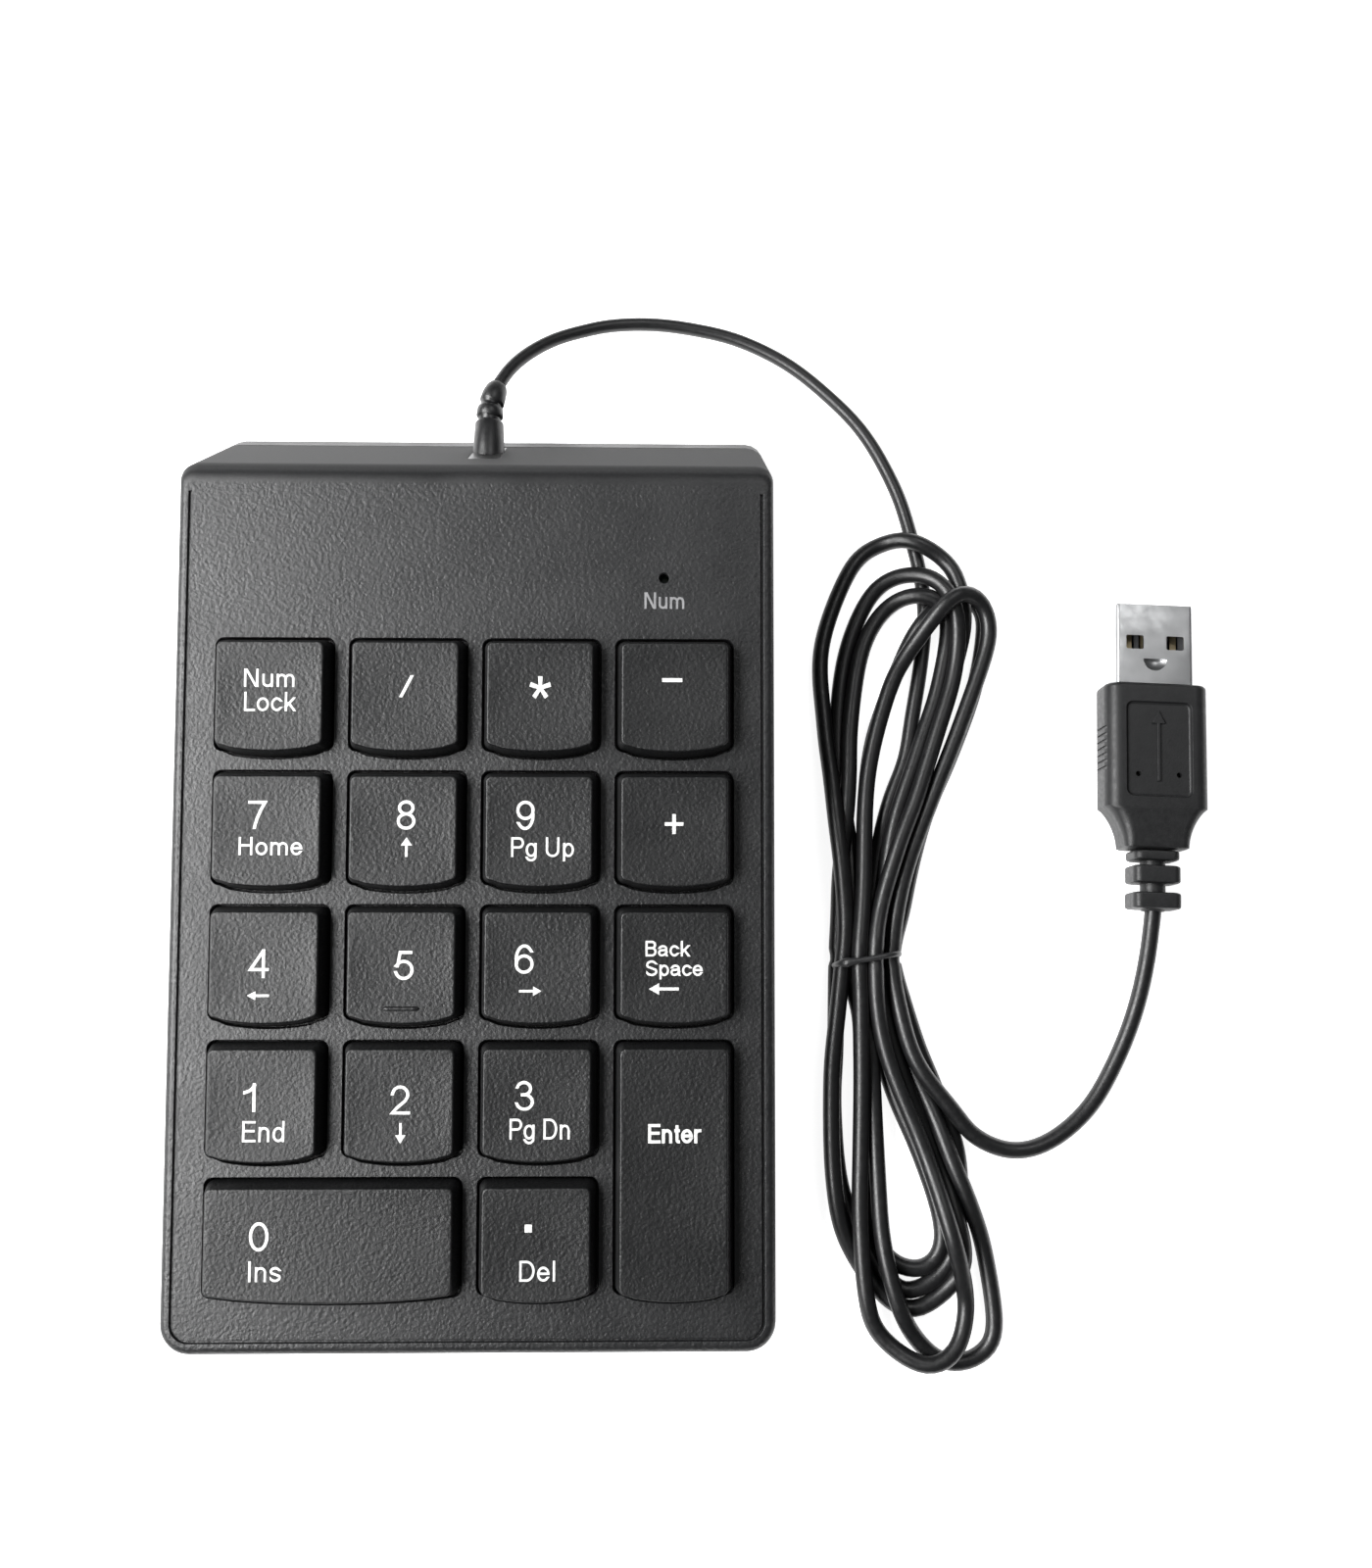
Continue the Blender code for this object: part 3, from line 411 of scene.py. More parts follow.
HANK_RUNS = (
    # one run of cord from each crossing of the waist to the next, in the order of the cord
    ((69.2, 43.5), (68.5, 33.9), (66.7, 23.4), (65.6, 16.9), (62.7, 10.1), (60.2, 1), (58.1, -13.9)),
    ((59.6, -19.9), (62.6, -32.1), (66.8, -42.8), (69.9, -56.4), (65.6, -60.8), (58.8, -57.3),
     (57.9, -42.6), (57.9, -29.7), (57.9, -22.4), (56, -13.9)),
    ((57.9, -1), (58.5, 9.2), (60.3, 20.7), (65.6, 33.9), (68.3, 38.6, 3.2), (71.6, 42.2, 1.9), (74.7, 44),
     (77.4, 42.7), (78.6, 39.3), (76.5, 28.7), (72, 17.5), (67.7, 8.2), (63.7, -4.8), (61.8, -13.9)),
    ((64.5, -27), (67.4, -34.1), (71.3, -44.1), (70, -58.3), (63.7, -63.4), (60.1, -61), (54.1, -50),
     (52.9, -37), (53.5, -27.3), (54, -13.9)),
    ((54.6, -7.3), (55.3, 3.5), (55.8, 14.3), (56.2, 22.6), (58.6, 34.9), (63.1, 41.8), (68.1, 43, 3.4),
     (71.7, 41.3, 2.8), (72.5, 36.8, 1.5), (70.5, 27.1), (67.5, 20), (63.9, 10.9, 1.6), (62, 4, 1.6),
     (60.5, -7.3, 1.6), (59.4, -13.9, 3)),
    ((61.3, -24.8), (65, -35.8), (68.8, -44.8, 1.5), (71.3, -55.1, 3.7), (70.8, -60.6, 1.6), (63.5, -65.4),
     (55.9, -56.7, 1.6), (53, -46.8, 3.5), (52.7, -32, 3.7), (53.7, -22.4, 3.7), (54.7, -13.9, 3.7)),
    ((55.2, -9.2, 3.6), (54.7, 1.8, 3.2), (53.7, 13.1, 2.2), (52.8, 22.5), (52.4, 35.2), (57.3, 48.5),
     (62.2, 52.4), (66.7, 52.3, 3.7), (72.4, 48.9, 2.7), (74, 43.9, 3.8), (74.7, 39.1, 2), (73.5, 33.9),
     (70, 23.1), (66.6, 12.8), (62.5, -1), (61.8, -8.6), (59.9, -13.9)),
    ((61.8, -19.2, 1.4), (63.7, -26.5, 1.5), (66.7, -34.1, 1.9), (69.5, -43.2, 3.6), (72.1, -49.6, 3.4),
     (74.8, -57.1, 1.6), (76.2, -69), (73, -72.7), (68.3, -73.1), (64.4, -69.7, 1.5), (61.5, -64.3, 3.6),
     (59.4, -55.7, 3.8), (58.9, -47.7, 3), (58.5, -38.5, 2.8), (58.1, -28, 2.8), (56.9, -13.9, 3.2)),
    ((56.6, 1.5), (54.6, 18.1), (55.7, 32.8), (59.7, 43.2), (64, 46.5, 2.4), (69.1, 45.9, 4.1),
     (72, 42.1, 5), (73, 36.8, 3.6), (72.2, 30, 3.3), (69.7, 22.2, 3.5), (65.8, 10.4, 3.8),
     (63.1, 3.8, 3.8), (60.2, -5.7, 3.8), (59.1, -13.9, 5.5)),
    ((60.2, -26.2, 4.1), (66.1, -42, 3.8), (69.5, -54.3, 6.1), (71.8, -62.3, 2.4), (71.7, -67.2, 2.2),
     (69.6, -71.5, 3.6), (65.2, -73, 3.4), (59.1, -68.9, 2.4), (57.2, -63.4, 3.4), (56.5, -52.2, 3.9),
     (56.8, -42.9, 3.9), (57.2, -32, 3.9), (57.4, -19.9, 3.9), (57, -13.9, 5)),
    ((57.8, -2.5, 4), (58.7, 13.9, 3.9), (62.1, 27.2, 3.9), (65.1, 33.2, 4.1), (71, 41, 7),
     (73.8, 42.6, 6.5), (76.5, 42, 5.2), (78.1, 39, 4.1), (77.8, 34.3, 3.8), (73, 21.1, 3.8),
     (69.1, 11.6, 3.8), (64, -1.8, 3.8), (61.9, -13.9, 3.7)),
    ((62.8, -22.4, 3.8), (65.1, -30.1, 3.5)),
)
IN_PLUG = (102.5, -5.2, 4.08)
WAIST = (57.9, -13.9)
WAIST_ZONE = (8.0, 1.2)
WAIST_HALF = 3.95
WAIST_TOP = 5.72
STRAND_GAP = 2.42
LOWEST = 1.28
SETTLING_ROUNDS = 600
# rounds between two searches for close strands, and points of the cord that count as one strand
SEARCH_EVERY = 15
OWN_STRAND = 8
ALONG_LOST = 0.9
PUSH = 0.78
PULL = 0.04
SLACK = 0.25
SINK = 0.004
# points at the two ends that stay in place
HELD_START = 12
HELD_END = 10


def smooth_line(route, steps):
    """Catmull-Rom points through a route."""
    route = [Vector(p) for p in route]
    padded = [route[0] * 2 - route[1]] + route + [route[-1] * 2 - route[-2]]
    points = []
    for i in range(1, len(padded) - 2):
        a, b, c, d = padded[i - 1:i + 3]
        for k in range(steps):
            t = k / steps
            points.append(0.5 * (2 * b + (c - a) * t + (2 * a - 5 * b + 4 * c - d) * t * t
                                 + (3 * b - a - 3 * c + d) * t * t * t))
    points.append(route[-1])
    return points


def eased(values, reach):
    """Values along the cord, each averaged with its neighbours by a bell curve."""
    side = int(4 * reach)
    bell = np.exp(-0.5 * (np.arange(-side, side + 1) / reach) ** 2)
    padded = np.pad(values, ((side, side), (0, 0)), mode="reflect", reflect_type="odd")
    return np.stack([np.convolve(column, bell / bell.sum(), "valid") for column in padded.T], axis=1)


def crowded(cord, reach):
    """Pairs of points on different strands, no further apart than reach."""
    square = (cord ** 2).sum(axis=1)
    apart = square[:, None] + square[None, :] - 2.0 * cord @ cord.T
    return np.nonzero(np.triu(apart < reach ** 2, OWN_STRAND))


def spread(cord, first, second):
    """Moves that bring the strands of each pair a gap apart, mostly square to their run."""
    between = cord[first] - cord[second]
    along = np.gradient(cord, axis=0)[first]
    along /= np.linalg.norm(along, axis=1)[:, None]
    apart = np.linalg.norm(between, axis=1)
    across = between - ALONG_LOST * (between * along).sum(axis=1)[:, None] * along
    across /= np.linalg.norm(across, axis=1)[:, None] + 1e-6
    lack = np.clip(STRAND_GAP - apart, 0.0, None)
    close = lack > 0.0
    push = 0.5 * lack[:, None] * across
    count = len(cord)
    shares = np.bincount(first, close, count) + np.bincount(second, close, count)
    move = np.stack([np.bincount(first, push[:, i], count) - np.bincount(second, push[:, i], count)
                     for i in range(3)], axis=1)
    return PUSH * eased(move / np.maximum(shares, 1.0)[:, None], 2.0)


def laid(home):
    """The cord as it settles: strands that share a place move apart, and the rest keeps to its route."""
    run = np.concatenate(([0.0], np.cumsum(np.linalg.norm(np.diff(home, axis=0), axis=1))))
    even = np.linspace(0.0, run[-1], int(run[-1]))
    home = eased(np.stack([np.interp(even, run, column) for column in home.T], axis=1), 1.6)
    cord = home.copy()
    for turn in range(SETTLING_ROUNDS):
        if turn % SEARCH_EVERY == 0:
            first, second = crowded(cord, STRAND_GAP + 1.0)
        move = spread(cord, first, second)
        back = home - cord
        drift = np.linalg.norm(back[:, :2], axis=1)[:, None]
        move[:, :2] += PULL * back[:, :2] * np.clip(1.0 - SLACK / (drift + 1e-9), 0.0, 1.0)
        move[:, 2] += SINK * (np.clip(back[:, 2], -1.0, 1.0) - 1.0)
        bend = cord + move - home
        cord = home + 0.5 * (bend + eased(bend, 3.0))
        cord[:, 2] = np.maximum(cord[:, 2], LOWEST)
        waist = (np.abs(cord[:, :2] - WAIST) < WAIST_ZONE).all(axis=1)
        cord[waist, 0] = np.clip(cord[waist, 0], WAIST[0] - WAIST_HALF, WAIST[0] + WAIST_HALF)
        cord[waist, 2] = np.clip(cord[waist, 2], LOWEST, WAIST_TOP)
        cord[:HELD_START] = home[:HELD_START]
        cord[-HELD_END:] = home[-HELD_END:]
    return cord


def cord_share(run):
    """Thickness of the lead as a share of the nominal radius: it is drawn thinner near the housing."""
    return 0.84 + 0.18 * min(max((run - 60.0) / 90.0, 0.0), 1.0)


def cord():
    curve = bpy.data.curves.new("cord", "CURVE")
    curve.dimensions = "3D"
    curve.bevel_depth = 0.5 * CORD_DIAMETER * MM
    curve.bevel_resolution = 5
    curve.use_fill_caps = True
    route = LEAD_ROUTE + sum(HANK_RUNS, ()) + PLUG_ROUTE + (IN_PLUG,)
    route = [point if len(point) == 3 else (*point, RESTING) for point in route]
    points = [Vector(p) for p in laid(np.array(smooth_line(route, 8)))]
    spline = curve.splines.new("POLY")
    spline.points.add(len(points) - 1)
    run = 0.0
    for i, (slot, point) in enumerate(zip(spline.points, points)):
        run += (point - points[i - 1]).length if i else 0.0
        slot.co = (*(point * MM), 1.0)
        slot.radius = cord_share(run)
    spline.use_smooth = True
    curve.materials.append(CORD_LOOK)
    obj = bpy.data.objects.new("cord", curve)
    scene.collection.objects.link(obj)
    return stand_for(obj, HOUSING, "cord", "cord_lead", "cord_hank", "cord_plug_lead")


def swept(path, radii, sides):
    """Round bar along a path, with a radius for each point."""
    rings = []
    for i, (point, radius) in enumerate(zip(path, radii)):
        along = (path[min(i + 1, len(path) - 1)] - path[max(i - 1, 0)]).normalized()
        side = along.cross(UPRIGHT).normalized()
        top = side.cross(along)
        rings.append(oval(point, side * radius, top * radius, sides))
    return loft(rings)


TIE_PATH = (
    (53.15, -15.1, 2.6), (53.2, -15.0, 4.6), (53.6, -14.9, 6.3), (54.5, -14.75, 7.25), (55.8, -14.55, 7.5),
    (57.6, -14.25, 7.55), (59.4, -13.95, 7.5), (61.0, -13.65, 7.2), (62.2, -13.45, 6.4), (62.9, -13.35, 5.0),
    (63.05, -13.4, 3.0), (62.7, -13.6, 1.3), (61.8, -13.9, 0.55), (60.0, -14.2, 0.5), (57.9, -14.4, 0.5),
    (55.8, -14.6, 0.5), (54.2, -14.9, 0.55), (53.4, -15.05, 1.2),
)


def cable_tie():
    """Wire tie round the waist, thickest where its end is twisted over the left edge."""
    route = [Vector(p) for p in TIE_PATH]
    path = smooth_line(route + route[:3], 4)[4:4 + 4 * len(route)]
    rings = []
    for i, point in enumerate(path):
        along = (path[(i + 1) % len(path)] - path[i - 1]).normalized()
        side = Vector((0.0, 1.0, 0.0)) - along * along.y
        side.normalize()
        out = along.cross(side)
        lump = math.exp(-((point.x - 54.7) / 0.9) ** 2) if point.z > 5.0 else 0.0
        wide, thick = 0.42 + 0.28 * lump, 0.34 + 0.1 * lump
        rings.append(oval(point, side * wide, out * thick, 14))
    tie = make("wire_tie", loft(rings, closed=True), TIE_LOOK)
    return stand_for(tie, HOUSING, "tie", "cable_tie")


# ---- strain relief

RELIEF_X = -0.1
NOZZLE = (
    # x, y, z, radius along the axis
    (0.0, 61.0, 10.5, 2.45), (0.0, 64.0, 10.5, 2.45), (0.0, 68.3, 10.5, 2.22), (0.0, 68.5, 10.5, 2.1),
    (0.0, 68.7, 10.5, 1.72), (0.01, 69.2, 10.49, 1.7), (0.015, 69.4, 10.49, 1.95), (0.03, 69.6, 10.48, 2.1),
    (0.1, 70.8, 10.41, 2.02), (0.12, 71.0, 10.4, 1.88), (0.14, 71.15, 10.39, 1.6), (0.2, 71.6, 10.33, 1.58),
    (0.24, 71.8, 10.3, 1.82), (0.3, 72.0, 10.26, 1.95), (0.62, 73.4, 10.0, 1.88), (0.95, 74.4, 9.76, 1.7),
    (1.15, 75.0, 9.6, 1.38),
)


def strain_relief():
    """Grommet plate in the rear wall with a ribbed nozzle that bends with the cord."""
    def slab(half, depth_in, depth_out, z0, z1):
        ring = []
        for z in (z0, z1):
            outer = wall_y(z)
            row = [(-half, outer - depth_out), (half, outer - depth_out)]
            row += [(half, outer - depth_in), (-half, outer - depth_in)]
            ring.append([(RELIEF_X + x, y, z) for x, y in row])
        return loft(ring)

    relief = make("strain_relief_nozzle", slab(2.35, 0.06, 3.0, 6.3, 17.4), CORD_LOOK)
    path = [Vector((RELIEF_X + x, y, z)) for x, y, z, _ in NOZZLE]
    nozzle = swept(path, [radius for _, _, _, radius in NOZZLE], 40)
    combine(relief, [slab(3.9, 2.4, 3.6, 6.4, 17.0), nozzle], "UNION", 50.0)
    return stand_for(relief, HOUSING, "cord", "strain_relief")


# ---- housing

HOUSING_STEPS = 12
HALF_WIDTH = 43.0
FRONT_Y = -69.15
REAR_Y = 69.15
CASE_BOTTOM = 1.2
PARTING = 6.0
REAR_SLOPE = 0.565
WALL = 1.8
FRONT_RADIUS = 4.2
REAR_RADIUS = 2.8
SIDE_FILLET = 1.2
REAR_FILLET = 3.6
KEY_TILT = math.radians(5.0)
KEY_ORIGIN = Vector((0.0, -15.45, 18.07))
KEY_FRAME = Matrix.Translation(KEY_ORIGIN) @ Matrix.Rotation(KEY_TILT, 4, "X")
PITCH = 19.05

KEY_ROWS = (
    ("num_lock", "divide", "multiply", "minus"), ("7", "8", "9", "plus"), ("4", "5", "6", "backspace"),
    ("1", "2", "3", "enter"), ("0", None, "decimal"),
)
# name, column, row, width in units, depth in units
KEYS = [("key_" + name, column, row, 2 if name == "0" else 1, 2 if name == "enter" else 1)
        for row, names in enumerate(KEY_ROWS) for column, name in enumerate(names) if name]


def plane_z(y):
    return KEY_ORIGIN.z + (y - KEY_ORIGIN.y) * math.tan(KEY_TILT)


def wall_y(z, inset=0.0):
    return REAR_Y - REAR_SLOPE * (z - CASE_BOTTOM) - inset / math.cos(math.atan(REAR_SLOPE))


def housing_ring(inset, rear_y, level):
    """Rounded plan outline. level(y, w) gives the height; w runs from 0 on the sides to 1 at the rear."""
    half = HALF_WIDTH - inset
    front = FRONT_Y + inset
    front_r = max(FRONT_RADIUS - inset, 0.6)
    rear_r = max(REAR_RADIUS - inset, 0.6)
    corners = (
        (-half + front_r, front + front_r, front_r, 180),
        (half - front_r, front + front_r, front_r, 270),
        (half - rear_r, rear_y - rear_r, rear_r, 0),
        (-half + rear_r, rear_y - rear_r, rear_r, 90),
    )
    ring = []
    for cx, cy, radius, start in corners:
        for k in range(HOUSING_STEPS + 1):
            angle = math.radians(start + 90.0 * k / HOUSING_STEPS)
            y = cy + radius * math.sin(angle)
            ring.append((cx + radius * math.cos(angle), y, level(y, max(math.sin(angle), 0.0) ** 2)))
    return ring


def rear_fillet(radius):
    """Centre and end angles of the roll from the rear wall to the top, seen along X."""
    wall_angle = math.atan(REAR_SLOPE)
    top_angle = math.pi / 2.0 + KEY_TILT
    wall_normal = Vector((math.cos(wall_angle), math.sin(wall_angle)))
    top_normal = Vector((math.cos(top_angle), math.sin(top_angle)))
    wall_offset = wall_normal.dot(Vector((REAR_Y, CASE_BOTTOM))) - radius
    top_offset = top_normal.dot(Vector((KEY_ORIGIN.y, KEY_ORIGIN.z))) - radius
    centre = Matrix((wall_normal, top_normal)).inverted() @ Vector((wall_offset, top_offset))
    return centre, wall_angle, top_angle


def cover_shell():
    centre, wall_angle, top_angle = rear_fillet(REAR_FILLET)

    def edge_ring(share, rear_radius, fillet, inset, thickness):
        angle = wall_angle + (top_angle - wall_angle) * share
        rear_y = centre.x + rear_radius * math.cos(angle)
        rear_drop = plane_z(rear_y) - (centre.y + rear_radius * math.sin(angle))
        turn = 0.5 * math.pi * share
        side_inset = inset + fillet * (1.0 - math.cos(turn))
        side_drop = thickness + fillet * (1.0 - math.sin(turn))

        def level(y, w):
            return plane_z(y) - side_drop * (1.0 - w) - rear_drop * w

        return housing_ring(side_inset, rear_y, level)

    def flat_ring(z, inset):
        return housing_ring(inset, wall_y(z, inset), lambda y, w: z)

    rings = [
        edge_ring(1.0, REAR_FILLET - WALL, 0.8, WALL, WALL),
        edge_ring(0.0, REAR_FILLET - WALL, 0.8, WALL, WALL),
        flat_ring(PARTING, WALL),
        flat_ring(PARTING, 0.12),
        flat_ring(PARTING + 0.12, 0.0),
    ]
    rings += [edge_ring(k / 10.0, REAR_FILLET, SIDE_FILLET, 0.0, 0.0) for k in range(11)]
    return loft(rings)


EDGE_POINTS = 9
# arc radius of an edge that isn't bowed
STRAIGHT = 1e6


def outline(half_x, rear, front, radius, arc):
    """Rounded rectangle with a bowed front edge, anticlockwise from the front left corner."""
    sag = half_x * half_x / (2.0 * arc)
    corners = (
        (-half_x + radius, front + sag + radius, 180),
        (half_x - radius, front + sag + radius, 270),
        (half_x - radius, rear - radius, 0),
        (-half_x + radius, rear - radius, 90),
    )
    turns = [quarter(cx, cy, radius, start) for cx, cy, start in corners]
    points = []
    for index, turn in enumerate(turns):
        points += turn
        (x0, y0), (x1, y1) = turn[-1], turns[(index + 1) % 4][0]
        for k in range(1, EDGE_POINTS + 1):
            share = k / (EDGE_POINTS + 1)
            x, y = x0 + (x1 - x0) * share, y0 + (y1 - y0) * share
            points.append((x, front + x * x / (2.0 * arc)) if index == 0 else (x, y))
    return points


def at_level(points, z):
    return [(x, y, z) for x, y in points]


KEY_HALF_WIDTH = 8.155
KEY_REAR = 8.21
KEY_FRONT = 8.56
FRONT_ARC = 31.7
FACE_EDGE = -0.9


def across_or_along(along_x):
    """Turn that puts a pattern drawn along X on a wide key or on a deep one."""
    return Matrix.Rotation(0.0 if along_x else -math.pi / 2.0, 4, "Z")


def key_cell(key):
    """Centre and extra half size of a key's cell, in key-plane coordinates."""
    _, column, row, wide, deep = key
    x = (column - 1.5 + 0.5 * (wide - 1)) * PITCH
    y = (2 - row - 0.5 * (deep - 1)) * PITCH
    return x, y, 0.5 * (wide - 1) * PITCH, 0.5 * (deep - 1) * PITCH


def key_sides(key, grow):
    """Half width, rear and front reach of a key's outline, grown by a margin."""
    _, _, more_x, more_y = key_cell(key)
    return KEY_HALF_WIDTH + more_x + grow, KEY_REAR + more_y + grow, KEY_FRONT + more_y + grow


def key_outline(key, grow):
    """Key outline at the cover's face; the opening is the outline grown by OPENING_GAP."""
    half_x, rear, front = key_sides(key, grow)
    arc = FRONT_ARC if key_cell(key)[2] == 0.0 else half_x * half_x / 1.9
    return outline(half_x, rear, -front, max(1.1 + 0.4 * grow, 0.4), arc)


RIM = 1.75
GROOVE_SECTION = ((-0.1, -0.4), (0.1, -0.4), (0.17, -0.2), (0.24, -0.04), (0.4, 0.05), (0.4, 0.6),
                  (-0.4, 0.6), (-0.4, 0.05), (-0.24, -0.04), (-0.17, -0.2))


def groove_cutter():
    """Rounded line that sets the rim bead off from the top, along the left, front and right edges."""
    half = HALF_WIDTH - RIM
    front = (FRONT_Y + RIM + 0.1 - KEY_ORIGIN.y) / math.cos(KEY_TILT)
    radius = 2.5
    path = [(-half, 68.0), (-half, front + radius)]
    path += [(-half + radius - radius * math.cos(a), front + radius - radius * math.sin(a))
             for a in (math.radians(7.5 * k) for k in range(1, 12))]
    path += [(-half + radius, front)]
    path += [(-x, y) for x, y in reversed(path)]
    rings = []
    for i, (x, y) in enumerate(path):
        along = (Vector(path[min(i + 1, len(path) - 1)]) - Vector(path[max(i - 1, 0)])).normalized()
        side = Vector((-along.y, along.x))
        rings.append([(x + side.x * s, y + side.y * s, z) for s, z in GROOVE_SECTION])
    return placed(loft(rings), KEY_FRAME)


# centre x and y, underside, end of the screw, radius
SCREW_BOSSES = ((-33.0, -64.95, 7.9, 11.0, 1.9), (33.0, -64.95, 7.9, 11.0, 1.9),
                (-36.0, 48.0, 11.7, 16.5, 2.4), (36.0, 48.0, 11.7, 16.5, 2.4))
PILOT_RADIUS = 1.15
LED_PLACE = (27.1, 55.6)
LABEL_PLACE = (27.1, 52.3)
OPENING_GAP = 0.3


def top_cover():
    cover = make("keypad_cover", cover_shell(), COVER_LOOK)
    bosses = [turned([(radius, seam + 0.3), (radius, plane_z(y) - 0.9)], 24, x, y)
              for x, y, seam, _, radius in SCREW_BOSSES]
    pilots = [turned([(PILOT_RADIUS, seam - 1.0), (PILOT_RADIUS, shank + 0.3)], 20, x, y)
              for x, y, seam, shank, _ in SCREW_BOSSES]
    combine(cover, bosses, "UNION")
    openings = []
    for key in KEYS:
        x, y, _, _ = key_cell(key)
        rings = []
        for grow, z in ((OPENING_GAP, -3.2), (OPENING_GAP, -0.2), (0.34, -0.08), (0.44, 0.02), (0.44, 1.0)):
            rings.append([(x + px, y + py, z) for px, py in key_outline(key, grow)])
        openings.append(placed(loft(rings), KEY_FRAME))
    light_hole = turned([(0.7, -3.0), (0.7, -0.12), (0.86, 0.02), (0.86, 1.0)], 32, *LED_PLACE)
    cable_slot = box(RELIEF_X - 2.4, RELIEF_X + 2.4, 50.0, 75.0, PARTING - 1.0, 17.45)
    cuts = [merged(openings), placed(light_hole, KEY_FRAME), cable_slot, groove_cutter(), merged(pilots)]
    combine(cover, cuts, "DIFFERENCE")
    even_normals(cover)
    return stand_for(cover, HOUSING, "top_cover", "top_cover")


# ---- keys

FACE_Z = 3.0
DISH = 0.22
CEILING_Z = 1.5
PLUNGER_RADIUS = 2.5
LUG_SIDES = (-12.0, 12.0)
# margin on the key's outline and height: up the inside, round the flange and over the rolled edge
KEY_PROFILE = (
    (-1.15, 0.0), (-1.15, -2.9), (0.75, -2.9), (0.75, -2.1), (0.0, -2.1), (0.0, 0.0), (-0.5, 2.42),
    (-0.54, 2.6), (-0.585, 2.76), (-0.65, 2.88), (-0.73, 2.96), (-0.82, 2.995),
)
FACE_SHARES = (1.0, 0.94, 0.86, 0.76, 0.64, 0.5, 0.36, 0.22, 0.1)


def face_level(key, x, y):
    """Height of the dished key face."""
    half_x, rear, front = key_sides(key, FACE_EDGE)
    reach = rear if y > 0 else front
    across = 1.0 - min(abs(x) / half_x, 1.0) ** 2.0
    along = 1.0 - min(abs(y) / reach, 1.0) ** 2.0
    return FACE_Z - DISH * across ** 0.8 * along ** 0.8


def key_shape(key):
    """Hollow cap with flange, tapered walls, rolled edge, dished face and plunger, as one skin."""
    ceiling = key_outline(key, -1.75)
    face = key_outline(key, FACE_EDGE)
    plunger = []
    for x, y in ceiling:
        length = math.hypot(x, y)
        plunger.append((PLUNGER_RADIUS * x / length, PLUNGER_RADIUS * y / length))
    rings = [at_level(plunger, -3.6), at_level(plunger, CEILING_Z), at_level(ceiling, CEILING_Z)]
    rings += [at_level(key_outline(key, grow), z) for grow, z in KEY_PROFILE]
    for share in FACE_SHARES:
        rings.append([(x * share, y * share, face_level(key, x * share, y * share)) for x, y in face])
    return loft(rings)


def lug_parts(key):
    """Slotted lugs under a two-unit key that take the stabiliser bar's legs."""
    turn = across_or_along(key_cell(key)[2])
    lugs = [placed(box(x - 1.6, x + 1.6, 0.0, 0.8, -4.35, 2.0), turn) for x in LUG_SIDES]
    slots = [placed(box(x - 0.8, x + 0.8, -0.5, 1.3, -3.85, -1.55), turn) for x in LUG_SIDES]
    return lugs, slots


BAR_HALF = 2.6
BAR_Y = -5.87
BAR_SECTION = ((-0.3, 0.0), (0.3, 0.0), (0.29, 0.3), (0.19, 0.46), (0.0, 0.52), (-0.19, 0.46), (-0.29, 0.3))


def homing_bar(key):
    """Low rounded ridge that a finger finds on the middle key."""
    rings = []
    for k in range(13):
        x = -BAR_HALF + 2.0 * BAR_HALF * k / 12
        low = face_level(key, x, BAR_Y) - 0.1
        fade = 1.0
        if abs(x) > BAR_HALF - 0.25:
            fade = max(math.sin(math.pi * min(max((BAR_HALF - abs(x)) / 0.5, 0.06), 0.5)), 0.3)
        rings.append([(x + 0.05, BAR_Y + y * fade, low + z * fade) for y, z in BAR_SECTION])
    return loft(rings)


def keycap(key):
    x, y, more_x, more_y = key_cell(key)
    matrix = KEY_FRAME @ Matrix.Translation((x, y, 0.0))
    cap = make("cap_" + key[0], key_shape(key), KEY_LOOK, matrix, 40.0)
    if more_x or more_y:
        lugs, slots = lug_parts(key)
        combine(cap, [placed(lug, matrix) for lug in lugs], "UNION", 40.0)
        combine(cap, [placed(hole, matrix) for hole in slots], "DIFFERENCE", 40.0)
    if key[0] == "key_5":
        combine(cap, [placed(homing_bar(key), matrix)], "UNION", 50.0)
    return stand_for(cap, key[0], "keys", key[0])


# ---- legends

